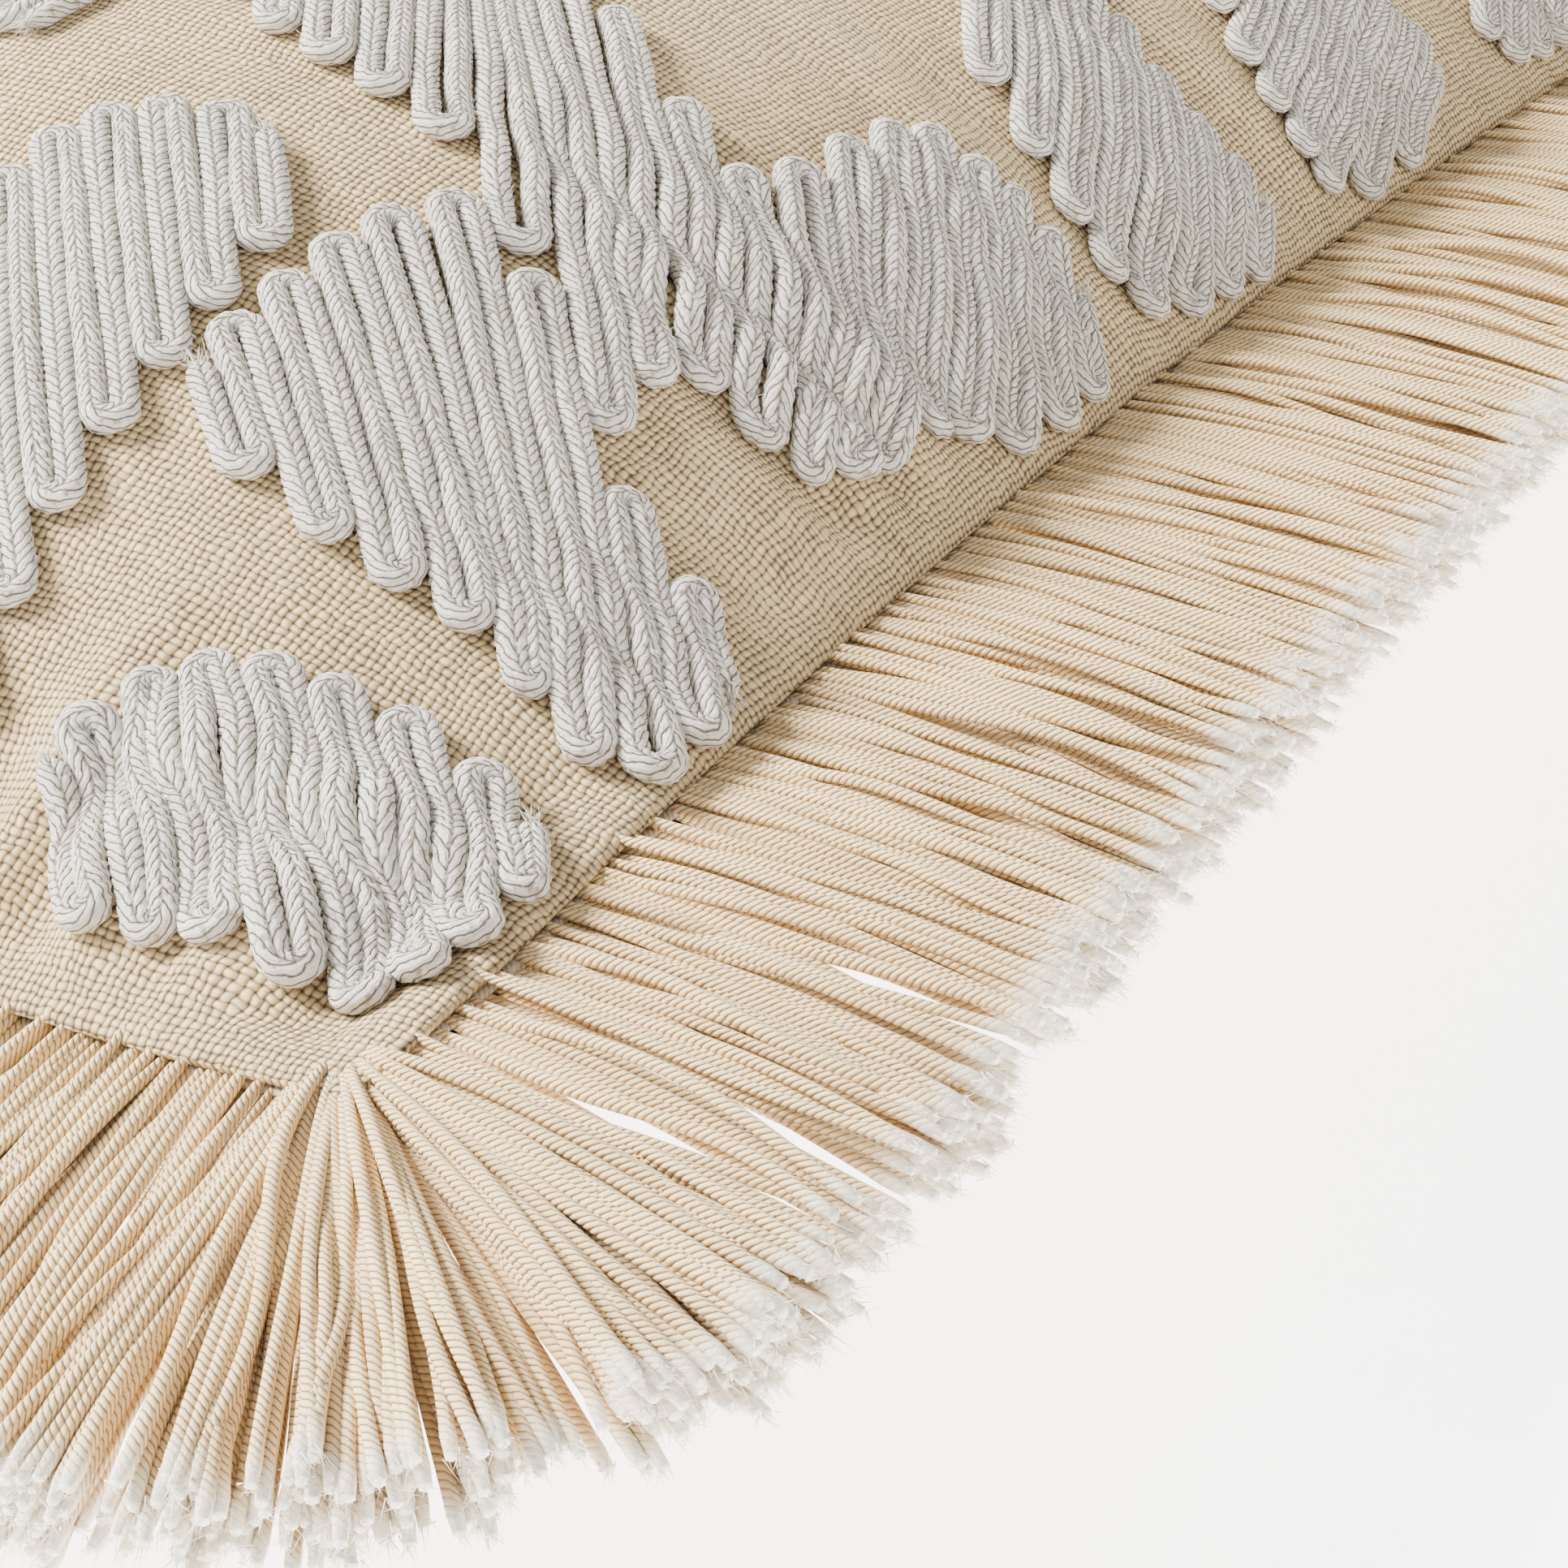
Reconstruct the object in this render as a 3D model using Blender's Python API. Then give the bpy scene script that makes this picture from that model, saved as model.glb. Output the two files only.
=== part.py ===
"""Throw pillow: a zipped cover with corded motifs and a brush fringe, over a fibre-filled insert.

The pillow lies on its back panel. +Z is up, +X points to the right seam and -Y to the bottom seam,
beside which the zip runs. The origin is the centre of the underside. Lengths are in metres.
"""
import bmesh
import bpy
import math
from mathutils import Matrix, Vector

# Cover, measured over the finished seams
COVER_SIDE = 0.490
SEAM_PULL_IN = 0.014
SEAM_BAND = 0.014
FRONT_CROWN = 0.088
BACK_CROWN = 0.064
BACK_CURVE_WIDTH = 0.075
FRONT_FULLNESS = 3.0
BACK_FULLNESS = 2.5
EDGE_STEEPNESS = 0.75
CLOTH_THICKNESS = 0.0009

# Fringe trim sewn into the seam
HEADER_WIDTH = 0.008
HEADER_THICKNESS = 0.0012
FRINGE_LENGTH = 0.048
FRINGE_ROOT_THICKNESS = 0.003
FRINGE_TIP_THICKNESS = 0.008
FRINGE_DROOP = 0.012
FRINGE_FAN_ROOT = 0.002
FRINGE_ROOT_GAP = 0.0006

# Corded motifs laid on the front panel
CORD_THICKNESS = 0.0034
CORD_BED = 0.00095

# Insert
INSERT_INSET = 0.010
INSERT_SLACK = 0.002
CASING_THICKNESS = 0.0006
FILLING_INSET = 0.018
FILLING_SLACK = 0.0008
FILLING_EDGE = 0.001

# Zip across the back panel
ZIP_INSET = 0.028
ZIP_LENGTH = 0.300
ZIP_TAPE_REACH = 0.013
ZIP_TAPE_THICKNESS = 0.0005
ZIP_END_TAPER = 0.003
COIL_RADIUS = 0.0010
COIL_CLEARANCE = 0.0005
STOP_LENGTH = 0.003
STOP_THICKNESS = 0.0012
SLIDER_LENGTH = 0.010
SLIDER_PLATE = 0.0007
SLIDER_POST = 0.0008
SLIDER_FLANGE = 0.0005
SLIDER_SIDE_CLEARANCE = 0.0004
SLIDER_TAPE_CLEARANCE = 0.0004
SLIDER_START_GAP = 0.0008
ZIP_OPENING_CLEARANCE = 0.0006
BRIDGE_HALF_LENGTH = 0.0031
BRIDGE_BAR = 0.0008
BRIDGE_WIDTH = 0.0016
TAB_LENGTH = 0.014
TAB_THICKNESS = 0.001
TAB_BAR = 0.0012
TAB_FRAME = 0.0011
TAB_SIDE_CLEARANCE = 0.0006
TAB_END_CLEARANCE = 0.0011
TAB_CLEARANCE = 0.0004

GAP = 0.0003
SIDE_NAMES = ("right", "top", "left", "bottom")

MID_HALF = COVER_SIDE / 2 - SEAM_PULL_IN
SEAM_HEIGHT = BACK_CROWN + CLOTH_THICKNESS + GAP + HEADER_THICKNESS / 2
ZIP_ROW = -1 + ZIP_INSET / MID_HALF
COIL_OFFSET = COIL_RADIUS + SLIDER_POST / 2 + GAP
COIL_REACH = COIL_OFFSET + COIL_RADIUS
ZIP_TAPE_EDGE = COIL_REACH + GAP
SLIDER_HALF_WIDTH = COIL_REACH + SLIDER_SIDE_CLEARANCE + SLIDER_FLANGE
ZIP_OPENING = 2 * (SLIDER_HALF_WIDTH + ZIP_OPENING_CLEARANCE)
TAB_WINDOW_WIDTH = BRIDGE_WIDTH + 2 * TAB_SIDE_CLEARANCE
TAB_WINDOW_LENGTH = BRIDGE_HALF_LENGTH + TAB_END_CLEARANCE - TAB_BAR / 2
TAB_WIDTH = TAB_WINDOW_WIDTH + 2 * TAB_FRAME

# Seam-to-crown stations, as shares of the half width
FRONT_STATIONS = (0.0, 0.14, 0.28, 0.42, 0.55, 0.67, 0.78, 0.87, 0.94, 0.98, 1.0)
INSERT_STATIONS = (0.0, 0.25, 0.48, 0.66, 0.76, 0.85, 0.93, 1.0)
BACK_STATIONS = (0.0, 0.35, 1 - BACK_CURVE_WIDTH / MID_HALF, 0.77, 0.86, 0.95, 1.0)

# Motif outlines as pairs of rails, in millimetres along the cloth from the right and bottom seams.
# Each cord run joins a point of the upper rail to the point of the lower rail with the same place
# in its list. The same motifs repeat, turned by a quarter each time, round the panel.
QUARTER_MOTIFS = {
    "corner_bar": (((56.5, 24), (57.5, 28), (56, 33), (54, 39), (51, 44), (45, 46.5), (38.5, 48.5),
                    (32.5, 49), (25, 50), (17.5, 48.5), (10, 48), (5, 44)),
                   ((47, 13), (41, 10.5), (36.6, 11.5), (31.4, 13.2), (25.4, 15.1), (15.7, 13.7),
                    (7, 14.7), (5, 19), (4, 25), (3.5, 31), (3.5, 36), (3.5, 40))),
    "bottom_bar": (((93, 119), (97, 122), (101.5, 124), (105, 123.5), (108, 122), (111, 120.5),
                    (114, 119), (116, 117), (118, 114), (118, 110), (118, 106), (118.5, 103),
                    (119, 100), (119.5, 95), (117, 86.5), (111.6, 75), (104, 60), (94, 45),
                    (84, 31), (76, 20)),
                   ((88, 113.5), (84.7, 107), (83.5, 101), (82.5, 96), (81.8, 91), (81.3, 86),
                    (80.6, 80), (80, 75), (79.3, 69), (78.6, 64), (77.8, 58), (77, 53.5),
                    (76, 48), (74.6, 41.4), (73, 32.6), (70, 20.7), (68, 14), (67, 11),
                    (67, 10.5), (68, 11))),
    "cross_lower": (((76, 79), (77.4, 84.8), (76.8, 91), (76.7, 97.7), (76.8, 105.3), (76.4, 111.7),
                     (74.3, 117.3), (72, 123), (70, 127), (68.5, 127), (37, 98), (33.4, 96),
                     (25.7, 92.7), (19.5, 90.3), (14.5, 89.9), (8.9, 87.9)),
                    ((70, 73), (60.3, 69.7), (51.6, 67), (43.5, 66), (36, 66), (29, 66),
                     (21, 63), (15.6, 62.3), (8, 59.5), (5, 60), (4, 61.5), (3, 66),
                     (3, 70), (3, 75), (3.5, 80), (5, 83.5))),
    "cross_upper": (((137, 163), (136, 171), (134, 178), (131, 183), (125, 185), (117, 183.5),
                     (111, 181), (108, 180), (104, 180), (98, 180), (88.5, 178.6), (79.6, 171.3),
                     (68.7, 163.8), (60, 159.7), (51.8, 154.7), (50.3, 160.3), (49.2, 168.7),
                     (49, 181), (47.4, 189), (42.4, 192.6), (36.2, 193), (29.9, 193.7),
                     (22.8, 192.5), (15, 191), (8.6, 187.1)),
                    ((131, 156), (120, 149), (112, 144), (104, 141.5), (95, 139), (85.8, 136.3),
                     (75.2, 131.6), (71.5, 130), (37.5, 100.5), (37.5, 108), (39, 116), (36.8, 121),
                     (32.7, 122), (26.1, 120.5), (19.6, 121), (17, 122.2), (15.2, 124.6),
                     (13.8, 133), (14.3, 144.4), (11, 151), (6, 155.5), (4.5, 167.2),
                     (4.5, 177), (4.8, 181.6), (5, 183.6))),
    "side_bar": (((90, 262), (88, 268), (85, 268), (77, 262), (70.5, 259), (63, 256), (55, 253.5),
                  (47, 251.6), (40, 247.6), (33, 246), (28, 243.6), (22, 243), (16.5, 243.7),
                  (10.8, 243), (6, 239.5)),
                 ((84, 252), (68, 236), (52, 217), (44, 211.5), (37.5, 209), (30, 206),
                  (21.4, 202.5), (13.4, 200.5), (8.2, 202.7), (6.5, 210), (5.7, 216), (5, 223),
                  (4, 229.5), (4, 234), (4, 237))),
    "inner_leaf": (((222, 216), (206, 214), (186, 204), (164, 188), (146, 166), (138, 144)),
                   ((220, 204), (214, 190), (198, 172), (176, 150), (154, 132), (138, 132))),
    "bottom_lens": (((146, 24), (137, 29), (128, 29), (121, 25), (117, 19), (115, 13)),
                    ((149, 20), (153, 14), (152, 8.5), (144, 6.5), (134, 6), (125, 6))),
    "bottom_band": (((182, 112), (176, 118), (166, 116), (156, 108), (148, 98), (142, 86)),
                    ((178, 98), (170, 88), (160, 78), (152, 70), (144, 66), (138, 74))),
}
# The motif of the right side, which repeats on the other sides
SIDE_LENS = (((60, 300), (57, 306), (50, 310), (43, 312), (36, 312), (28, 310.5), (24, 313),
              (21, 315), (16, 314), (10.6, 311)),
             ((52, 286), (46, 279), (39, 274), (27, 267), (18, 263), (10, 262.5), (5.5, 268),
              (4, 278), (4, 287), (6, 300)))


def clear_scene():
    for item in list(bpy.data.objects):
        bpy.data.objects.remove(item, do_unlink=True)


def material(name, colour, roughness, metallic=0.0):
    """A plain Principled material."""
    made = bpy.data.materials.new(name)
    made.use_nodes = True
    shader = made.node_tree.nodes["Principled BSDF"]
    shader.inputs["Base Color"].default_value = (*colour, 1.0)
    shader.inputs["Roughness"].default_value = roughness
    shader.inputs["Metallic"].default_value = metallic
    return made


def link_mesh(name, mesh, finish):
    """An object in the scene that holds the mesh and its material."""
    mesh.materials.append(finish)
    thing = bpy.data.objects.new(name, mesh)
    bpy.context.scene.collection.objects.link(thing)
    return thing


def mesh_from(name, build):
    """A mesh filled by build(bm), with its faces turned outwards."""
    bm = bmesh.new()
    build(bm)
    bmesh.ops.recalc_face_normals(bm, faces=bm.faces)
    mesh = bpy.data.meshes.new(name)
    bm.to_mesh(mesh)
    bm.free()
    return mesh


def slab(name, upper, lower, finish):
    """A closed solid between two grids of points."""
    rows = len(upper)
    columns = len(upper[0])

    def build(bm):
        top = [[bm.verts.new(point) for point in row] for row in upper]
        bottom = [[bm.verts.new(point) for point in row] for row in lower]
        for row in range(rows - 1):
            following = row + 1
            for column in range(columns - 1):
                bm.faces.new((top[row][column], top[row][column + 1],
                              top[following][column + 1], top[following][column]))
                bm.faces.new((bottom[row][column], bottom[following][column],
                              bottom[following][column + 1], bottom[row][column + 1]))
            for column in (0, columns - 1):
                bm.faces.new((top[row][column], top[following][column],
                              bottom[following][column], bottom[row][column]))
        for row in (0, rows - 1):
            for column in range(columns - 1):
                bm.faces.new((top[row][column], top[row][column + 1],
                              bottom[row][column + 1], bottom[row][column]))

    return link_mesh(name, mesh_from(name, build), finish)


def prism(name, outline, axis, start, end, finish):
    """A closed solid with the outline's shape, drawn out along axis 0 (X), 1 (Y) or 2 (Z)."""

    def place(pair, along):
        point = list(pair)
        point.insert(axis, along)
        return point

    def build(bm):
        near = [bm.verts.new(place(pair, start)) for pair in outline]
        far = [bm.verts.new(place(pair, end)) for pair in outline]
        bm.faces.new(near)
        bm.faces.new(list(reversed(far)))
        for index in range(len(outline)):
            following = (index + 1) % len(outline)
            bm.faces.new((near[index], near[following], far[following], far[index]))

    return link_mesh(name, mesh_from(name, build), finish)


def rectangle(low_x, low_y, high_x, high_y):
    return [(low_x, low_y), (high_x, low_y), (high_x, high_y), (low_x, high_y)]


def both_ways(stations):
    """The stations mirrored to run from -1 to 1."""
    return [-value for value in reversed(stations[1:])] + list(stations)


def rise(share, half, curve_width, fullness):
    """Share of the crown reached at a station, from 0 at the seam to 1."""
    inward = min((1 - abs(share)) * half / curve_width, 1.0)
    return (1 - (1 - inward) ** fullness) ** EDGE_STEEPNESS


def plan(a, b, inset=0.0):
    """Plan position of a cover station; the sides pull in between the corners."""
    half = MID_HALF - inset

    def along(share, other):
        in_band = max(0.0, abs(share) * half - (half - SEAM_BAND)) / SEAM_BAND
        return share * half + math.copysign(SEAM_PULL_IN * other ** 2 * in_band, share)

    return along(a, b), along(b, a)


def front_point(a, b, lift=0.0, inset=0.0, crown=FRONT_CROWN):
    x, y = plan(a, b, inset)
    half = MID_HALF - inset
    height = crown * rise(a, half, half, FRONT_FULLNESS) * rise(b, half, half, FRONT_FULLNESS)
    return Vector((x, y, SEAM_HEIGHT + lift + height))


def back_point(a, b, lift=0.0, inset=0.0, crown=BACK_CROWN):
    x, y = plan(a, b, inset)
    half = MID_HALF - inset
    share = rise(a, half, BACK_CURVE_WIDTH, BACK_FULLNESS) * rise(b, half, BACK_CURVE_WIDTH, BACK_FULLNESS)
    return Vector((x, y, SEAM_HEIGHT + lift - crown * share))


COVER_LIFT = HEADER_THICKNESS / 2 + GAP


def add_front_cover(finish):
    stations = both_ways(FRONT_STATIONS)
    outer = [[front_point(a, b, COVER_LIFT + CLOTH_THICKNESS) for a in stations] for b in stations]
    inner = [[front_point(a, b, COVER_LIFT) for a in stations] for b in stations]
    slab("front_cover", outer, inner, finish)


def opening_half():
    """Half the length of the opening in the back panel, clear of the stops at the zip's ends."""
    return ZIP_LENGTH / 2 + STOP_LENGTH + 2 * GAP


def zip_edge_row(a, side):
    """Row of a back panel's edge along the zip: folded back at the zip, and closed beyond it."""
    x = plan(a, ZIP_ROW)[0]
    opening = ZIP_OPENING if abs(x) <= opening_half() + GAP / 2 else GAP
    return ZIP_ROW + side * opening / 2 / MID_HALF


def add_back_panel(name, rows, side, finish):
    """A back panel whose row None is its edge along the zip."""
    end = opening_half() / MID_HALF
    taper = ZIP_END_TAPER / MID_HALF
    columns = sorted(set(both_ways(BACK_STATIONS)) | {-end - taper, -end, end, end + taper})

    def grid(lift):
        return [[back_point(a, zip_edge_row(a, side) if row is None else row, lift)
                 for a in columns] for row in rows]

    slab(name, grid(-COVER_LIFT), grid(-COVER_LIFT - CLOTH_THICKNESS), finish)


def add_back_cover(finish):
    reach = (ZIP_TAPE_REACH + 0.001) / MID_HALF
    stations = both_ways(BACK_STATIONS)
    main_rows = [None, ZIP_ROW + reach] + [b for b in stations if b > ZIP_ROW + reach + 0.02]
    strip_rows = [-1.0, (ZIP_ROW - reach - 1.0) / 2, ZIP_ROW - reach, None]
    add_back_panel("back_cover_main", main_rows, 1, finish)
    add_back_panel("back_cover_zip_strip", strip_rows, -1, finish)


def insert_back_crown(layer_height):
    """Depth below the seam that leaves a layer's underside at the given height over the floor."""
    return SEAM_HEIGHT - layer_height


def add_insert(casing_finish, filling_finish):
    stations = both_ways(INSERT_STATIONS)
    inset = INSERT_INSET
    front_crown = FRONT_CROWN - INSERT_SLACK
    casing_floor = CLOTH_THICKNESS + GAP
    half_gap = GAP / 2

    def face(point, lift, crown, face_inset=inset):
        return [[point(a, b, lift, face_inset, crown) for a in stations] for b in stations]

    def shell(name, point, sign, crown):
        outer = face(point, sign * (half_gap + CASING_THICKNESS), crown)
        inner = face(point, sign * half_gap, crown)
        slab(name, outer if sign > 0 else inner, inner if sign > 0 else outer, casing_finish)

    back_crown = insert_back_crown(casing_floor) - half_gap - CASING_THICKNESS
    shell("insert_casing_front", front_point, 1, front_crown)
    shell("insert_casing_back", back_point, -1, back_crown)
    fill_inset = inset + FILLING_INSET
    fill_front = front_crown - FILLING_SLACK - FILLING_EDGE / 2
    fill_back = back_crown + half_gap - GAP - FILLING_EDGE / 2
    upper = face(front_point, FILLING_EDGE / 2, fill_front, fill_inset)
    lower = face(back_point, -FILLING_EDGE / 2, fill_back, fill_inset)
    slab("insert_filling", upper, lower, filling_finish)


def seam_point(side, share):
    """A point of the seam on a side, numbered anticlockwise from the right, at a share from -1 to 1."""
    x, y = plan(1.0, share)
    turn = Matrix.Rotation(side * math.pi / 2, 4, "Z")
    return turn @ Vector((x, y, SEAM_HEIGHT))


def seam_shares():
    """Stations along a side, which stop a small gap short of its corners."""
    return [share * (1 - GAP / MID_HALF) for share in both_ways(FRONT_STATIONS)]


def add_fringe_header(finish):
    """The woven band that carries the fringe, cut once and butted at one corner."""
    half_thickness = Vector((0, 0, HEADER_THICKNESS / 2))
    upper = []
    lower = []
    for side in range(4):
        for share in seam_shares():
            edge = seam_point(side, share)
            inner = edge * ((MID_HALF - HEADER_WIDTH) / MID_HALF)
            ring = [Vector((inner.x, inner.y, SEAM_HEIGHT)), edge]
            upper.append([point + half_thickness for point in ring])
            lower.append([point - half_thickness for point in ring])
    slab("fringe_header", upper, lower, finish)


def fringe_section(root, outward, start):
    """Upper and lower points of the fringe from its root to its tip along one direction."""
    upper = []
    lower = []
    for share in (0.0, 0.35, 0.7, 1.0):
        centre = root + outward * (start + (FRINGE_LENGTH - start) * share)
        centre = centre - Vector((0, 0, FRINGE_DROOP * share ** 2))
        thickness = FRINGE_ROOT_THICKNESS + (FRINGE_TIP_THICKNESS - FRINGE_ROOT_THICKNESS) * share
        upper.append(centre + Vector((0, 0, thickness / 2)))
        lower.append(centre - Vector((0, 0, thickness / 2)))
    return upper, lower


def add_fringe(finish):
    """Four straight runs of fringe and the four fans between them."""
    fan_steps = 6
    for index, side in enumerate(SIDE_NAMES):
        outward = Matrix.Rotation(index * math.pi / 2, 4, "Z") @ Vector((1, 0, 0))
        roots = [seam_point(index, share) for share in seam_shares()]
        sections = [fringe_section(root, outward, FRINGE_ROOT_GAP) for root in roots]
        slab("fringe_" + side, [pair[0] for pair in sections], [pair[1] for pair in sections], finish)
    names = ("fringe_corner_bottom_right", "fringe_corner_top_right",
             "fringe_corner_top_left", "fringe_corner_bottom_left")
    for index, name in enumerate(names):
        turn = Matrix.Rotation(index * math.pi / 2, 4, "Z")
        corner = turn @ Vector((COVER_SIDE / 2 + GAP, -COVER_SIDE / 2 - GAP, SEAM_HEIGHT))
        sections = []
        for step in range(fan_steps + 1):
            angle = -math.pi / 2 + math.pi / 2 * step / fan_steps
            outward = turn @ Vector((math.cos(angle), math.sin(angle), 0))
            sections.append(fringe_section(corner, outward, FRINGE_FAN_ROOT))
        slab(name, [pair[0] for pair in sections], [pair[1] for pair in sections], finish)


def station_at(distance, profile):
    """The station where the cloth's length from the seam along profile(station) reaches distance."""
    steps = 60
    here = profile(1.0)
    covered = 0.0
    for step in range(1, 2 * steps + 1):
        share = 1 - step / steps
        following = profile(share)
        length = (following - here).length
        if covered + length >= distance:
            return share + (covered + length - distance) / length / steps
        covered += length
        here = following
    return -1.0


def cloth_point(from_right, from_bottom, lift):
    """The front panel's point at two distances along the cloth from the right and bottom seams."""
    a = 1 - from_right / MID_HALF
    b = 1 - from_bottom / MID_HALF
    for _ in range(3):
        a = station_at(from_right, lambda share: front_point(share, -b))
        b = station_at(from_bottom, lambda share: front_point(a, -share))
    return front_point(a, -b, lift)


def between(first, second, share):
    return first[0] + (second[0] - first[0]) * share, first[1] + (second[1] - first[1]) * share


def motif_grid(rails, lift):
    """Grid of points over a motif, one row for each pair of rail points."""
    across = (0.0, 0.17, 0.33, 0.5, 0.67, 0.83, 1.0)
    grid = []
    for upper, lower in zip(*rails):
        row = []
        for share in across:
            from_right, from_bottom = between(upper, lower, share)
            row.append(cloth_point(from_right / 1000, from_bottom / 1000, lift))
        grid.append(row)
    return grid


def turned(grid, turn):
    """The grid turned about the panel's middle by a number of quarters."""
    rotation = Matrix.Rotation(turn * math.pi / 2, 4, "Z")
    return [[rotation @ point for point in row] for row in grid]


def add_motifs(finish):
    """Corded motifs, each one cord laid to and fro and sewn down to the front panel."""
    base = COVER_LIFT + CLOTH_THICKNESS + CORD_BED
    quarters = ("bottom_right", "top_right", "top_left", "bottom_left")
    layout = [("cord_" + shape, rails, quarters) for shape, rails in QUARTER_MOTIFS.items()]
    layout.append(("cord_side_lens", SIDE_LENS, SIDE_NAMES))
    for shape, rails, places in layout:
        lower = motif_grid(rails, base)
        upper = motif_grid(rails, base + CORD_THICKNESS)
        for turn, place in enumerate(places):
            slab(shape + "_" + place, turned(upper, turn), turned(lower, turn), finish)


def zip_frame():
    """Frame of the zip: X along it, Y up the back panel, Z outwards, on the middle of its tapes."""
    step = 0.001 / MID_HALF
    slope = back_point(0, ZIP_ROW + step) - back_point(0, ZIP_ROW - step)
    y_axis = slope.normalized()
    z_axis = Vector((-1, 0, 0)).cross(y_axis)
    x_axis = y_axis.cross(z_axis)
    origin = back_point(0, ZIP_ROW, -COVER_LIFT + GAP + ZIP_TAPE_THICKNESS / 2)
    turned = Matrix((x_axis, y_axis, z_axis)).transposed().to_4x4()
    return Matrix.Translation(origin) @ turned


def add_zip_tape(name, side, finish):
    """Half of the zip's tape, which follows the back panel on the inside."""
    end = (opening_half() - GAP) / MID_HALF
    offsets = (ZIP_TAPE_EDGE, ZIP_OPENING / 2, ZIP_TAPE_REACH)
    low = -COVER_LIFT + GAP
    columns = [-end] + [a for a in both_ways(BACK_STATIONS) if abs(a) < end] + [end]

    def grid(lift):
        rows = [ZIP_ROW + side * offset / MID_HALF for offset in offsets]
        return [[back_point(a, row, lift) for a in columns] for row in rows]

    slab(name, grid(low + ZIP_TAPE_THICKNESS), grid(low), finish)


def round_bar(name, radius, start, end, centre, finish):
    """A twelve-sided bar along X."""
    sides = 12
    outline = [(centre[0] + radius * math.cos(2 * math.pi * turn / sides),
                centre[1] + radius * math.sin(2 * math.pi * turn / sides)) for turn in range(sides)]
    return prism(name, outline, 0, start, end, finish)


def add_zip_stop(name, side, holder, finish):
    """A clamp across both coils at one end of the zip."""
    start = side * (ZIP_LENGTH / 2 + GAP)
    section = rectangle(-COIL_REACH, -STOP_THICKNESS / 2, COIL_REACH, STOP_THICKNESS / 2)
    prism(name, section, 0, start, start + side * STOP_LENGTH, finish).parent = holder


def plate_height():
    """Height of the slider plates' inner faces over the middle of the tapes."""
    return COIL_RADIUS + COIL_CLEARANCE


def pin_height():
    """Height of the pull tab's hinge axis."""
    swing = math.hypot(TAB_BAR, TAB_THICKNESS) / 2
    return plate_height() + SLIDER_PLATE + TAB_CLEARANCE + swing


def slider_outline():
    """Section of the slider across the zip: two flanged plates joined by a post."""
    inner = plate_height()
    outer = inner + SLIDER_PLATE
    half = SLIDER_HALF_WIDTH
    rim = half - SLIDER_FLANGE
    lip = ZIP_TAPE_THICKNESS / 2 + SLIDER_TAPE_CLEARANCE
    post = SLIDER_POST / 2
    quarter = [(post, inner), (rim, inner), (rim, lip), (half, lip), (half, outer)]
    upper = quarter + [(-y, z) for y, z in reversed(quarter)]
    return upper + [(-y, -z) for y, z in upper]


def add_slider(holder, start, finish):
    """The slider, with the bridge that holds its pull tab."""
    half = SLIDER_LENGTH / 2
    slider = prism("zip_slider", slider_outline(), 0, -half, half, finish)
    top = plate_height() + SLIDER_PLATE
    swing = math.hypot(TAB_BAR, TAB_THICKNESS) / 2
    under = pin_height() + swing + TAB_CLEARANCE
    inner = BRIDGE_HALF_LENGTH - BRIDGE_BAR
    arch = [(-BRIDGE_HALF_LENGTH, top - SLIDER_PLATE / 2), (-inner, top - SLIDER_PLATE / 2), (-inner, under),
            (inner, under), (inner, top - SLIDER_PLATE / 2), (BRIDGE_HALF_LENGTH, top - SLIDER_PLATE / 2),
            (BRIDGE_HALF_LENGTH, under + BRIDGE_BAR), (-BRIDGE_HALF_LENGTH, under + BRIDGE_BAR)]
    bridge = prism("bridge_guide", arch, 1, -BRIDGE_WIDTH / 2, BRIDGE_WIDTH / 2, finish)
    bridge.hide_render = True
    bridge.display_type = "WIRE"
    join = slider.modifiers.new("bridge", "BOOLEAN")
    join.operation = "UNION"
    join.object = bridge
    for thing in (slider, bridge):
        thing.parent = holder
        thing.location = (start, 0, 0)


def add_pull_tab(holder, start, finish):
    """The pull tab, which hangs from the slider's bridge by its end bar."""
    half = TAB_WIDTH / 2
    tip = half * 0.7
    back = -TAB_BAR / 2
    outline = [(back, -half), (TAB_LENGTH / 2, -half), (TAB_LENGTH, -tip), (TAB_LENGTH, tip),
               (TAB_LENGTH / 2, half), (back, half)]
    tab = prism("zip_pull_tab", outline, 2, -TAB_THICKNESS / 2, TAB_THICKNESS / 2, finish)
    window_half = TAB_WINDOW_WIDTH / 2
    window = rectangle(TAB_BAR / 2, -window_half, TAB_BAR / 2 + TAB_WINDOW_LENGTH, window_half)
    cutter = prism("window_cutter", window, 2, -TAB_THICKNESS, TAB_THICKNESS, finish)
    cutter.hide_render = True
    cutter.display_type = "WIRE"
    cut = tab.modifiers.new("window", "BOOLEAN")
    cut.operation = "DIFFERENCE"
    cut.object = cutter
    for thing in (tab, cutter):
        thing.parent = holder
        thing.location = (start, 0, pin_height())
        thing.rotation_euler = (0, -math.pi / 2, 0)


def add_zip(tape_finish, coil_finish, metal_finish):
    holder = bpy.data.objects.new("zip_frame", None)
    bpy.context.scene.collection.objects.link(holder)
    holder.matrix_world = zip_frame()
    add_zip_tape("zip_tape_main", 1, tape_finish)
    add_zip_tape("zip_tape_strip", -1, tape_finish)
    half = ZIP_LENGTH / 2
    for name, side in (("zip_coil_main", 1), ("zip_coil_strip", -1)):
        round_bar(name, COIL_RADIUS, -half, half, (side * COIL_OFFSET, 0), coil_finish).parent = holder
    add_zip_stop("zip_stop_closed_end", -1, holder, metal_finish)
    add_zip_stop("zip_stop_open_end", 1, holder, metal_finish)
    start = -half + SLIDER_LENGTH / 2 + SLIDER_START_GAP
    add_slider(holder, start, metal_finish)
    add_pull_tab(holder, start, metal_finish)


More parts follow.
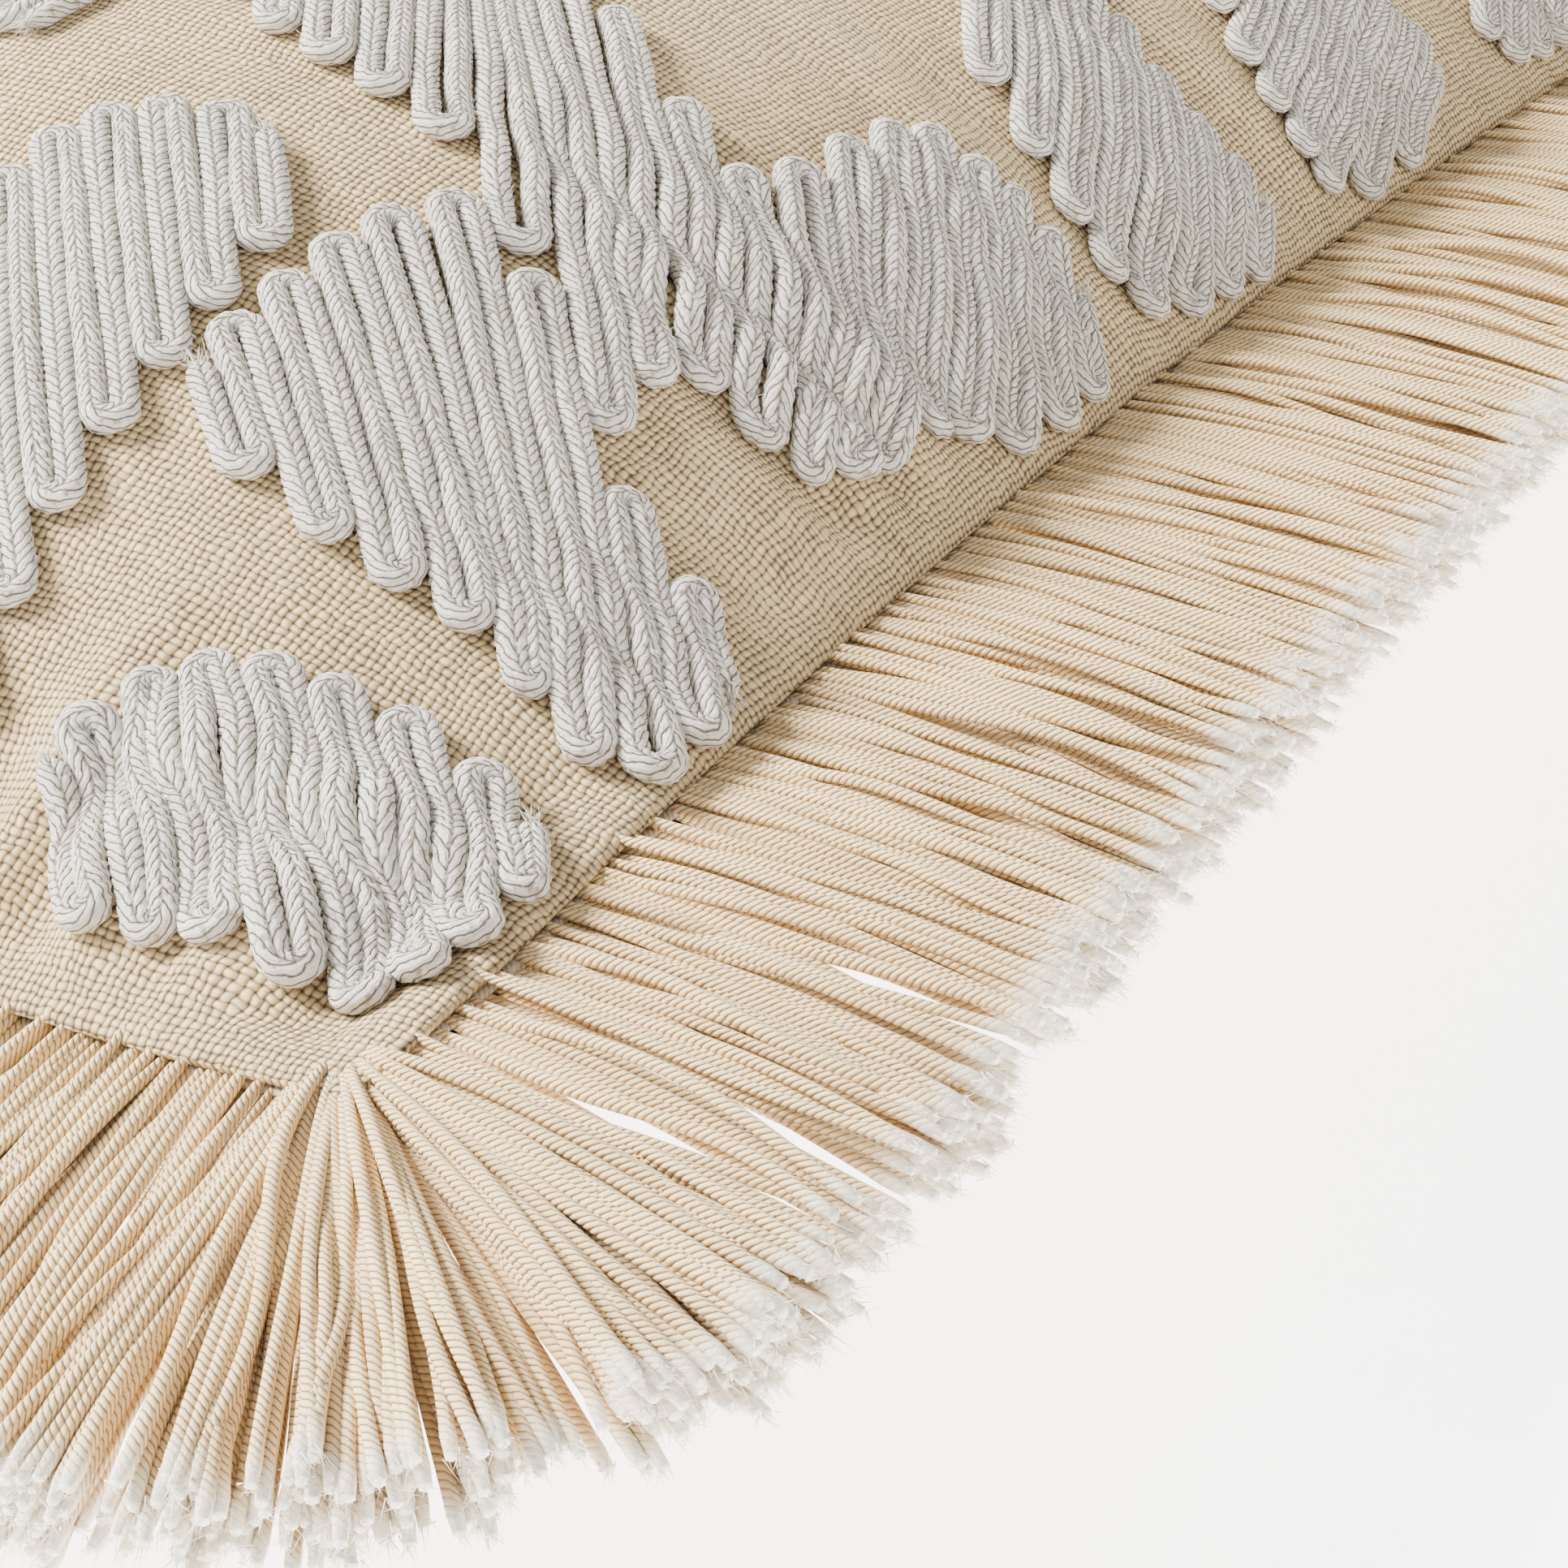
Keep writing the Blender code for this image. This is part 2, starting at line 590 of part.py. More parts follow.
def build_pillow():
    clear_scene()
    canvas = material("canvas", (0.55, 0.40, 0.25), 0.9)
    fringe = material("fringe_cotton", (0.78, 0.66, 0.46), 0.92)
    cord = material("braided_cord", (0.62, 0.59, 0.55), 0.93)
    casing = material("casing_cloth", (0.85, 0.85, 0.83), 0.85)
    fibre = material("polyester_fibre", (0.92, 0.92, 0.92), 0.95)
    tape = material("zip_tape", (0.62, 0.50, 0.36), 0.85)
    coil = material("zip_coil", (0.60, 0.49, 0.35), 0.45)
    metal = material("zip_metal", (0.62, 0.60, 0.56), 0.35, 1.0)
    add_front_cover(canvas)
    add_back_cover(canvas)
    add_insert(casing, fibre)
    add_fringe_header(fringe)
    add_fringe(fringe)
    add_motifs(cord)
    add_zip(tape, coil, metal)


build_pillow()
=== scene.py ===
"""Visual model of a square throw pillow: canvas cover, braided cord motifs, brush fringe, back zip."""
import math

import bpy
import numpy as np
from mathutils import Matrix, Vector


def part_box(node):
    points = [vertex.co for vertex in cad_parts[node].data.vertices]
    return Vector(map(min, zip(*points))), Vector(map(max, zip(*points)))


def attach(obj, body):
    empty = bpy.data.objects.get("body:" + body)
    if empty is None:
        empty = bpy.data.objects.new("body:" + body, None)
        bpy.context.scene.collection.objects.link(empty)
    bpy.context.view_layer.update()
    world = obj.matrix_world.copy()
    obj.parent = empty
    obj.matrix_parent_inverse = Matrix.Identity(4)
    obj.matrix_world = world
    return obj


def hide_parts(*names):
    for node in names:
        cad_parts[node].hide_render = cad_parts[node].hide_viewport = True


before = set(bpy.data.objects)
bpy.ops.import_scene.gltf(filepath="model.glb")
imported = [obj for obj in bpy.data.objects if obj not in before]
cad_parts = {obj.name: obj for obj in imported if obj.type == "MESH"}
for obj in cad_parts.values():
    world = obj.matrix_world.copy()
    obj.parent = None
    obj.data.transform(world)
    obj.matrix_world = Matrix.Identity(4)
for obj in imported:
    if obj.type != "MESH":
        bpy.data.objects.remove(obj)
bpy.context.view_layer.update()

# Sizes of the cover, in metres, as in the part's source
MID_HALF = 0.231
SEAM_PULL_IN = 0.014
SEAM_BAND = 0.014
FRONT_CROWN = 0.088
BACK_CROWN = 0.064
BACK_CURVE_WIDTH = 0.075
FRONT_FULLNESS = 3.0
BACK_FULLNESS = 2.5
EDGE_STEEPNESS = 0.75
CLOTH = 0.0009
COVER_LIFT = 0.0009
SEAM_HEIGHT = 0.0658
ZIP_ROW = -1 + 0.028 / MID_HALF
GAP = 0.0003
HEADER_WIDTH = 0.008
HEADER_THICKNESS = 0.0012
INSERT_INSET = 0.010
INSERT_SLACK = 0.002
CASING_THICKNESS = 0.0006
OPENING_HALF = 0.1536
ZIP_OPENING = 0.0084
ZIP_END_TAPER = 0.003
ZIP_TAPE_EDGE = 0.0030
ZIP_TAPE_REACH = 0.013
ZIP_TAPE_THICKNESS = 0.0005

# Cloth and yarn
YARN_PITCH = 0.0011
CLOTH_HALF = 0.245
CORD_WIDTH = 0.0036
CORD_PITCH = 0.00318
CORD_HEIGHT = 0.0030
BRAID_PITCH = 0.00150
BRAID_SLANT = 1.25
FRINGE_LENGTH = 0.048
FRINGE_YARN = 0.00145
TWIST_PITCH = 0.0009
STITCH_LENGTH = 0.0024
STITCH_PITCH = 0.0034
STITCH_RADIUS = 0.00022
HEM_STITCH = 0.0062
COIL_WIRE = 0.00030
COIL_PITCH = 0.00125

# Camera, floor and lights
CAMERA_PLACE = (0.441, -0.451, 0.215)
CAMERA_AZIMUTH = 34.8
CAMERA_ELEVATION = 23.7
CAMERA_ROLL = -9.0
CAMERA_LENS = 79.85
FLOOR_HALF = 30.0
FLOOR_GLOW = 5.0
WORLD_LIGHT = 0.75
LIGHT_TARGET = (0.1, -0.1, 0.05)

RING_STEP = 0.00042
RING_SIDES = 14
SURFACE_CELLS = 216

# Outlines of the motifs, in millimetres along the cloth from the right and bottom seams
MOTIFS = {
    "corner_bar": (((56.5, 24), (57.5, 28), (56, 33), (54, 39), (51, 44), (45, 46.5), (38.5, 48.5),
                    (32.5, 49), (25, 50), (17.5, 48.5), (10, 48), (5, 44)),
                   ((47, 13), (41, 10.5), (36.6, 11.5), (31.4, 13.2), (25.4, 15.1), (15.7, 13.7),
                    (7, 14.7), (5, 19), (4, 25), (3.5, 31), (3.5, 36), (3.5, 40))),
    "bottom_bar": (((93, 119), (97, 122), (101.5, 124), (105, 123.5), (108, 122), (111, 120.5),
                    (114, 119), (116, 117), (118, 114), (118, 110), (118, 106), (118.5, 103),
                    (119, 100), (119.5, 95), (117, 86.5), (111.6, 75), (104, 60), (94, 45),
                    (84, 31), (76, 20)),
                   ((88, 113.5), (84.7, 107), (83.5, 101), (82.5, 96), (81.8, 91), (81.3, 86),
                    (80.6, 80), (80, 75), (79.3, 69), (78.6, 64), (77.8, 58), (77, 53.5),
                    (76, 48), (74.6, 41.4), (73, 32.6), (70, 20.7), (68, 14), (67, 11),
                    (67, 10.5), (68, 11))),
    "cross_lower": (((76, 79), (77.4, 84.8), (76.8, 91), (76.7, 97.7), (76.8, 105.3), (76.4, 111.7),
                     (74.3, 117.3), (72, 123), (70, 127), (68.5, 127), (37, 98), (33.4, 96),
                     (25.7, 92.7), (19.5, 90.3), (14.5, 89.9), (8.9, 87.9)),
                    ((70, 73), (60.3, 69.7), (51.6, 67), (43.5, 66), (36, 66), (29, 66),
                     (21, 63), (15.6, 62.3), (8, 59.5), (5, 60), (4, 61.5), (3, 66),
                     (3, 70), (3, 75), (3.5, 80), (5, 83.5))),
    "cross_upper": (((137, 163), (136, 171), (134, 178), (131, 183), (125, 185), (117, 183.5),
                     (111, 181), (108, 180), (104, 180), (98, 180), (88.5, 178.6), (79.6, 171.3),
                     (68.7, 163.8), (60, 159.7), (51.8, 154.7), (50.3, 160.3), (49.2, 168.7),
                     (49, 181), (47.4, 189), (42.4, 192.6), (36.2, 193), (29.9, 193.7),
                     (22.8, 192.5), (15, 191), (8.6, 187.1)),
                    ((131, 156), (120, 149), (112, 144), (104, 141.5), (95, 139), (85.8, 136.3),
                     (75.2, 131.6), (71.5, 130), (37.5, 100.5), (37.5, 108), (39, 116), (36.8, 121),
                     (32.7, 122), (26.1, 120.5), (19.6, 121), (17, 122.2), (15.2, 124.6),
                     (13.8, 133), (14.3, 144.4), (11, 151), (6, 155.5), (4.5, 167.2),
                     (4.5, 177), (4.8, 181.6), (5, 183.6))),
    "side_bar": (((90, 262), (88, 268), (85, 268), (77, 262), (70.5, 259), (63, 256), (55, 253.5),
                  (47, 251.6), (40, 247.6), (33, 246), (28, 243.6), (22, 243), (16.5, 243.7),
                  (10.8, 243), (6, 239.5)),
                 ((84, 252), (68, 236), (52, 217), (44, 211.5), (37.5, 209), (30, 206),
                  (21.4, 202.5), (13.4, 200.5), (8.2, 202.7), (6.5, 210), (5.7, 216), (5, 223),
                  (4, 229.5), (4, 234), (4, 237))),
    "inner_leaf": (((222, 216), (206, 214), (186, 204), (164, 188), (146, 166), (138, 144)),
                   ((220, 204), (214, 190), (198, 172), (176, 150), (154, 132), (138, 132))),
    "bottom_lens": (((146, 24), (137, 29), (128, 29), (121, 25), (117, 19), (115, 13)),
                    ((149, 20), (153, 14), (152, 8.5), (144, 6.5), (134, 6), (125, 6))),
    "bottom_band": (((182, 112), (176, 118), (166, 116), (156, 108), (148, 98), (142, 86)),
                    ((178, 98), (170, 88), (160, 78), (152, 70), (144, 66), (138, 74))),
}
SIDE_LENS = (((60, 300), (57, 306), (50, 310), (43, 312), (36, 312), (28, 310.5), (24, 313),
              (21, 315), (16, 314), (10.6, 311)),
             ((52, 286), (46, 279), (39, 274), (27, 267), (18, 263), (10, 262.5), (5.5, 268),
              (4, 278), (4, 287), (6, 300)))
QUARTERS = ("bottom_right", "top_right", "top_left", "bottom_left")
SIDES = ("right", "top", "left", "bottom")


# ---------------------------------------------------------------- surfaces
def rise(share, half, curve_width, fullness):
    """How far a stuffed panel has risen at a share of its half width: 0 at the seam, 1 on top."""
    inward = np.minimum((1 - np.abs(share)) * half / curve_width, 1.0)
    return (1 - (1 - inward) ** fullness) ** EDGE_STEEPNESS


def plan(a, b):
    """Place on the plan of a pair of shares: the seams are drawn in between the corners."""
    def along(share, other):
        in_band = np.maximum(0.0, np.abs(share) * MID_HALF - (MID_HALF - SEAM_BAND)) / SEAM_BAND
        return share * MID_HALF + np.sign(share) * SEAM_PULL_IN * other ** 2 * in_band
    return along(a, b), along(b, a)


def front_share(a, b):
    """Height of the front over the seam, as a share of its crown."""
    return rise(a, MID_HALF, MID_HALF, FRONT_FULLNESS) * rise(b, MID_HALF, MID_HALF, FRONT_FULLNESS)


def back_share(a, b):
    """Depth of the back below the seam, as a share of its crown."""
    return (rise(a, MID_HALF, BACK_CURVE_WIDTH, BACK_FULLNESS)
            * rise(b, MID_HALF, BACK_CURVE_WIDTH, BACK_FULLNESS))


def front_points(a, b, lift=COVER_LIFT + CLOTH):
    x, y = plan(a, b)
    return np.stack((x, y, SEAM_HEIGHT + lift + FRONT_CROWN * front_share(a, b)), -1)


def back_points(a, b, lift=-COVER_LIFT - CLOTH):
    x, y = plan(a, b)
    return np.stack((x, y, SEAM_HEIGHT + lift - BACK_CROWN * back_share(a, b)), -1)


def stations(count):
    """Grid stations from seam to seam, closer together near the seams."""
    t = np.linspace(-1, 1, count)
    return np.sign(t) * (1 - (1 - np.abs(t)) ** 1.35)


def unit(v):
    return v / np.maximum(np.linalg.norm(v, axis=-1, keepdims=True), 1e-12)


def value_noise(x, seed):
    """Smooth one-dimensional noise in -1..1."""
    table = np.random.default_rng(seed).uniform(-1, 1, 4096)
    cell = np.floor(x).astype(int)
    t = x - cell
    t = t * t * (3 - 2 * t)
    return table[cell % 4096] * (1 - t) + table[(cell + 1) % 4096] * t


def noise2(x, y, seed):
    """Smooth two-dimensional noise in -1..1."""
    table = np.random.default_rng(seed).uniform(-1, 1, (256, 256))
    i, j = np.floor(x).astype(int), np.floor(y).astype(int)
    s, t = x - i, y - j
    s, t = s * s * (3 - 2 * s), t * t * (3 - 2 * t)
    i, j = i % 256, j % 256
    k, m = (i + 1) % 256, (j + 1) % 256
    return ((table[i, j] * (1 - s) + table[k, j] * s) * (1 - t)
            + (table[i, m] * (1 - s) + table[k, m] * s) * t)


def bilinear(grid, axis, a, b):
    """Sample grid[b, a] on the shared station axis."""
    n = len(axis)
    fa = np.interp(a, axis, np.arange(n))
    fb = np.interp(b, axis, np.arange(n))
    i = np.minimum(fa.astype(int), n - 2)
    j = np.minimum(fb.astype(int), n - 2)
    s, t = fa - i, fb - j
    if grid.ndim == 3:
        s, t = s[..., None], t[..., None]
    return ((grid[j, i] * (1 - s) + grid[j, i + 1] * s) * (1 - t)
            + (grid[j + 1, i] * (1 - s) + grid[j + 1, i + 1] * s) * t)


# ---------------------------------------------------------------- meshes
def build_mesh(name, verts, faces, material, uv=None, attributes=None, smooth=True):
    """A mesh object from arrays: verts (n,3), faces (m,4) or (m,3), uv per vertex or per corner."""
    mesh = bpy.data.meshes.new(name)
    faces = np.asarray(faces, dtype=np.int32)
    sides = faces.shape[1]
    mesh.vertices.add(len(verts))
    mesh.vertices.foreach_set("co", np.asarray(verts, dtype=np.float32).ravel())
    mesh.loops.add(faces.size)
    mesh.loops.foreach_set("vertex_index", faces.ravel())
    mesh.polygons.add(len(faces))
    mesh.polygons.foreach_set("loop_start", np.arange(0, faces.size, sides, dtype=np.int32))
    mesh.update(calc_edges=True)
    if uv is not None:
        layer = mesh.uv_layers.new(name="cloth")
        uv = np.asarray(uv, dtype=np.float32)
        corners = uv[faces.ravel()] if len(uv) == len(verts) else uv
        layer.data.foreach_set("uv", corners.ravel())
    for key, values in (attributes or {}).items():
        item = mesh.attributes.new(name=key, type="FLOAT", domain="POINT")
        item.data.foreach_set("value", np.asarray(values, dtype=np.float32).ravel())
    if smooth:
        mesh.polygons.foreach_set("use_smooth", np.ones(len(faces), dtype=bool))
    mesh.materials.append(material)
    item = bpy.data.objects.new(name, mesh)
    bpy.context.scene.collection.objects.link(item)
    return item


def grid_faces(rows, columns, start=0, flip=False):
    """The quads of a grid of points, row by row."""
    i, j = np.meshgrid(np.arange(rows - 1), np.arange(columns - 1), indexing="ij")
    p = start + i * columns + j
    quads = np.stack((p, p + 1, p + columns + 1, p + columns), -1).reshape(-1, 4)
    return quads[:, ::-1] if flip else quads


def shell(name, outer, inner, uv, material, flip=False):
    """A closed cloth panel between two grids of points with the same rows and columns."""
    rows, columns = outer.shape[:2]
    n = rows * columns
    index = np.arange(n).reshape(rows, columns)
    rim = np.concatenate((index[0, :], index[1:, -1], index[-1, -2::-1], index[-2:0:-1, 0]))
    following = np.roll(rim, -1)
    side = np.stack((rim, rim + n, following + n, following), -1)
    faces = np.concatenate((grid_faces(rows, columns), grid_faces(rows, columns, n, True), side))
    if flip:
        faces = faces[:, ::-1]
    verts = np.concatenate((outer.reshape(-1, 3), inner.reshape(-1, 3)))
    return build_mesh(name, verts, faces, material, np.concatenate((uv.reshape(-1, 2),) * 2))


def tube(centres, across, above, radii_across, radii_above, sides):
    """Rings round a path, as points (rings, sides, 3)."""
    angles = np.linspace(0, 2 * math.pi, sides, endpoint=False)
    return (centres[:, None]
            + across[:, None] * (radii_across * np.sin(angles))[..., None]
            + above[:, None] * (radii_above * np.cos(angles))[..., None])


def rings_round(centre, radius, sides):
    """Rings round many level paths at once: centre is (paths, rings, 3), radius (paths, rings)."""
    forward = unit(np.gradient(centre, axis=1))
    across = unit(np.cross(forward, np.array([0.0, 0.0, 1.0])))
    above = np.cross(across, forward)
    angles = np.linspace(0, 2 * math.pi, sides, endpoint=False)
    sine, cosine = np.sin(angles)[:, None], np.cos(angles)[:, None]
    points = (centre[:, :, None] + radius[..., None, None]
              * (across[:, :, None] * sine + above[:, :, None] * cosine))
    return points, forward


def tube_faces(rings, sides):
    """The quads between rings of points, without end caps."""
    i, j = np.meshgrid(np.arange(rings - 1), np.arange(sides), indexing="ij")
    k = (j + 1) % sides
    low, high = i * sides, (i + 1) * sides
    return np.stack((low + j, low + k, high + k, high + j), -1).reshape(-1, 4)


def slivers(base, across, up, width, tip):
    """Thin three-sided fibres: three corners round each base, and a tip."""
    corners = [base + (across * math.cos(t) + up * math.sin(t)) * width for t in (0, 2.09, 4.19)]
    return np.stack((*corners, tip), 1)


def sliver_faces(count):
    one = np.array([(0, 1, 3), (1, 2, 3), (2, 0, 3), (0, 2, 1)])
    return (one[None] + np.arange(count)[:, None, None] * 4).reshape(-1, 3)


# ---------------------------------------------------------------- materials
class Nodes:
    """Short hand for building a material's node tree."""

    def __init__(self, name):
        self.material = bpy.data.materials.new(name)
        self.material.use_nodes = True
        self.tree = self.material.node_tree
        self.shader = self.tree.nodes["Principled BSDF"]

    def add(self, kind, **settings):
        node = self.tree.nodes.new(kind)
        for key, value in settings.items():
            setattr(node, key, value)
        return node

    def link(self, source, target):
        self.tree.links.new(source, target)

    def put(self, value, socket):
        if isinstance(value, (int, float, tuple)):
            socket.default_value = value
        else:
            self.link(value, socket)

    def math(self, operation, *values, clamp=False):
        node = self.add("ShaderNodeMath", operation=operation, use_clamp=clamp)
        for value, socket in zip(values, node.inputs):
            self.put(value, socket)
        return node.outputs[0]

    def times(self, first, second):
        return self.math("MULTIPLY", first, second)

    def plus(self, first, second):
        return self.math("ADD", first, second)

    def minus(self, first, second):
        return self.math("SUBTRACT", first, second)

    def swing(self, value, amount):
        """A noise value of 0..1 turned to swing about zero."""
        return self.times(self.minus(value, 0.5), amount)

    def shaded(self, tone, shade):
        """A colour darkened or lightened by a grey factor."""
        return self.mix(1.0, tone, self.combine(shade, shade, shade), "MULTIPLY")

    def combine(self, x, y, z=0.0):
        node = self.add("ShaderNodeCombineXYZ")
        for value, socket in zip((x, y, z), node.inputs):
            self.put(value, socket)
        return node.outputs[0]

    def uv(self):
        node = self.add("ShaderNodeUVMap", uv_map="cloth")
        split = self.add("ShaderNodeSeparateXYZ")
        self.link(node.outputs[0], split.inputs[0])
        return split.outputs[0], split.outputs[1]

    def noise(self, vector, scale=1.0, detail=2.0, roughness=0.5):
        node = self.add("ShaderNodeTexNoise")
        self.link(vector, node.inputs["Vector"])
        node.inputs["Scale"].default_value = scale
        node.inputs["Detail"].default_value = detail
        node.inputs["Roughness"].default_value = roughness
        return node.outputs[0]

    def random(self, vector):
        node = self.add("ShaderNodeTexWhiteNoise", noise_dimensions="3D")
        self.link(vector, node.inputs["Vector"])
        return node.outputs["Value"]

    def position(self, scale=1.0):
        node = self.add("ShaderNodeTexCoord")
        size = self.add("ShaderNodeVectorMath", operation="SCALE")
        self.link(node.outputs["Object"], size.inputs[0])
        size.inputs["Scale"].default_value = scale
        return size.outputs[0]

    def ramp(self, value, low, high, out_low=0.0, out_high=1.0, smooth=True):
        node = self.add("ShaderNodeMapRange", interpolation_type="SMOOTHSTEP" if smooth else "LINEAR")
        self.put(value, node.inputs["Value"])
        for key, number in (("From Min", low), ("From Max", high), ("To Min", out_low), ("To Max", out_high)):
            node.inputs[key].default_value = number
        return node.outputs[0]

    def mix(self, factor, first, second, blend="MIX"):
        node = self.add("ShaderNodeMix", data_type="RGBA", blend_type=blend)
        self.put(factor, node.inputs[0])
        self.put(first, node.inputs[6])
        self.put(second, node.inputs[7])
        return node.outputs[2]

    def attribute(self, name):
        return self.add("ShaderNodeAttribute", attribute_name=name).outputs["Fac"]

    def bump(self, height, distance, strength=1.0, normal=None):
        node = self.add("ShaderNodeBump")
        node.inputs["Distance"].default_value = distance
        node.inputs["Strength"].default_value = strength
        self.link(height, node.inputs["Height"])
        if normal is not None:
            self.link(normal, node.inputs["Normal"])
        return node.outputs[0]

    def finish(self, colour, roughness, normal=None, sheen=0.0):
        self.put(colour, self.shader.inputs["Base Color"])
        self.put(roughness, self.shader.inputs["Roughness"])
        if normal is not None:
            self.link(normal, self.shader.inputs["Normal"])
        self.shader.inputs["Sheen Weight"].default_value = sheen
        self.shader.inputs["Sheen Roughness"].default_value = 0.6
        self.shader.inputs["Specular IOR Level"].default_value = 0.15
        return self.material


def canvas_material(name, pitch=YARN_PITCH, light=(0.80, 0.58, 0.285, 1), gap_shade=(0.075, 0.036, 0.010, 1)):
    """Coarse plain weave with uneven yarns, slubs and small open gaps, with painted shade in the gaps."""
    n = Nodes(name)
    u, v = n.uv()
    x = n.math("DIVIDE", u, pitch)
    y = n.math("DIVIDE", v, pitch)
    drift = n.noise(n.combine(n.times(x, 0.05), n.times(y, 0.05)), 1.0, 2.0)
    wobble = n.noise(n.combine(n.times(x, 0.35), n.times(y, 0.35), 7.0), 1.0, 2.0)
    shift = n.plus(n.swing(drift, 4.0), n.swing(wobble, 1.1))
    x = n.plus(x, shift)
    wobble_y = n.noise(n.combine(n.times(x, 0.33), n.times(y, 0.33), 19.0), 1.0, 2.0)
    y = n.plus(y, n.swing(wobble_y, 1.2))
    cos_x = n.math("COSINE", n.times(x, math.pi))
    cos_y = n.math("COSINE", n.times(y, math.pi))
    warp_id = n.math("FLOOR", n.plus(x, 0.5))
    weft_id = n.math("FLOOR", n.plus(y, 0.5))
    warp_slub = n.noise(n.combine(n.times(warp_id, 3.7), n.times(y, 0.16), 3.0), 1.0, 2.0)
    weft_slub = n.noise(n.combine(n.times(weft_id, 3.1), n.times(x, 0.13), 11.0), 1.0, 2.0)

    def profile(cosine, slub):
        width = n.ramp(slub, 0.25, 0.8, 0.62, 1.45, False)
        round_off = n.math("POWER", n.math("ABSOLUTE", cosine), 0.62)
        return n.times(round_off, width)

    warp = profile(cos_x, warp_slub)
    weft = profile(cos_y, weft_slub)
    over = n.times(cos_y, n.math("SIGN", cos_x))
    under = n.times(n.times(cos_x, n.math("SIGN", cos_y)), -1.0)
    warp_height = n.times(warp, n.plus(0.52, n.times(over, 0.48)))
    weft_height = n.times(weft, n.plus(0.52, n.times(under, 0.48)))
    height = n.math("MAXIMUM", warp_height, weft_height)
    fibre = n.noise(n.combine(n.times(x, 9.0), n.times(y, 9.0), 5.0), 1.0, 3.0, 0.65)
    relief = n.plus(height, n.times(fibre, 0.22))
    depth = n.ramp(height, 0.16, 0.80)
    warp_on_top = n.math("GREATER_THAN", warp_height, weft_height)
    yarn = n.random(n.combine(n.times(warp_id, warp_on_top),
                              n.times(weft_id, n.minus(1.0, warp_on_top)), warp_on_top))
    # Painted shade: the low places of the weave, between and under the yarns, take the dark brown colour.
    tone = n.mix(depth, gap_shade, light)
    large = n.noise(n.position(14.0), 1.0, 3.0)
    shade = n.plus(n.ramp(yarn, 0, 1, 0.92, 1.06, False),
                   n.plus(n.swing(fibre, 0.55), n.swing(large, 0.14)))
    tone = n.shaded(tone, shade)
    pale = n.ramp(n.plus(warp_slub, weft_slub), 1.15, 1.5, 0.0, 0.35)
    tone = n.mix(pale, tone, (0.88, 0.70, 0.42, 1))
    rough = n.ramp(depth, 0, 1, 0.98, 0.86, False)
    return n.finish(tone, rough, n.bump(relief, 0.00070, 1.0), sheen=0.12)


def braid_material(name):
    """Braided cord: slanting strands that meet in a V along the top, with fuzzy fibres and painted shade in
    the grooves between the strands.
    """
    n = Nodes(name)
    across, along = n.uv()
    side = n.math("SIGN", across)
    distance = n.math("ABSOLUTE", across)
    phase = n.math("DIVIDE", n.plus(along, n.times(distance, BRAID_SLANT)), BRAID_PITCH)
    phase = n.plus(phase, n.times(side, 0.25))
    jitter = n.noise(n.position(420.0), 1.0, 2.0)
    phase = n.plus(phase, n.swing(jitter, 1.3))
    strand = n.math("POWER", n.math("ABSOLUTE", n.math("COSINE", n.times(phase, math.pi))), 0.55)
    ply = n.math("ABSOLUTE", n.math("COSINE", n.times(phase, 3 * math.pi)))
    centre = n.ramp(distance, 0.0, 0.00045, 0.35, 1.0)
    fibre = n.noise(n.combine(n.times(across, 2600.0), n.times(along, 2600.0), phase), 1.0, 4.0, 0.7)
    relief = n.plus(n.times(strand, centre), n.plus(n.times(ply, 0.18), n.times(fibre, 0.9)))
    depth = n.ramp(n.times(strand, centre), 0.12, 0.75)
    # Painted shade: the grooves between the strands and along the middle of the V are coloured dark brown.
    tone = n.mix(depth, (0.13, 0.09, 0.05, 1), (0.90, 0.83, 0.71, 1))
    fleck = n.noise(n.position(900.0), 1.0, 3.0)
    tone = n.mix(n.ramp(fleck, 0.56, 0.70, 0.0, 0.8), tone, (0.36, 0.28, 0.19, 1))
    tone = n.mix(n.ramp(fleck, 0.44, 0.28, 0.0, 0.7), tone, (0.92, 0.88, 0.82, 1))
    large = n.noise(n.position(30.0), 1.0, 2.0)
    shade = n.ramp(large, 0.3, 0.7, 0.94, 1.04, False)
    tone = n.shaded(tone, shade)
    return n.finish(tone, 0.95, n.bump(relief, 0.00060, 1.0), sheen=0.12)


def yarn_material(name):
    """Twisted cotton yarn with a white brushed end."""
    n = Nodes(name)
    turn, along = n.uv()
    phase = n.plus(n.times(turn, 4.0), n.math("DIVIDE", along, TWIST_PITCH))
    ply = n.math("POWER", n.math("ABSOLUTE", n.math("COSINE", n.times(phase, math.pi))), 0.6)
    tip = n.attribute("tip")
    own = n.attribute("own")
    under_shade = n.attribute("under_shade")
    fibre = n.noise(n.combine(n.times(turn, 9.0), n.times(along, 2200.0), own), 1.0, 4.0, 0.7)
    twist = n.times(ply, n.minus(1.0, n.times(tip, 0.8)))
    relief = n.plus(twist, n.times(fibre, n.plus(0.6, tip)))
    # Painted shade: the grooves between the plies of the twist are coloured dark brown.
    tone = n.mix(n.ramp(ply, 0.1, 0.8), (0.22, 0.105, 0.028, 1), (0.93, 0.68, 0.34, 1))
    # Painted shade: yarns that lie low in the fringe, under the others, are darkened towards brown.
    tone = n.mix(n.times(under_shade, 0.65), tone, (0.46, 0.28, 0.12, 1))
    shade = n.plus(n.ramp(own, 0, 1, 0.90, 1.07, False), n.swing(fibre, 0.22))
    tone = n.shaded(tone, shade)
    tone = n.mix(tip, tone, (0.97, 0.90, 0.76, 1))
    return n.finish(tone, 0.93, n.bump(relief, 0.00030, 0.9), sheen=0.2)


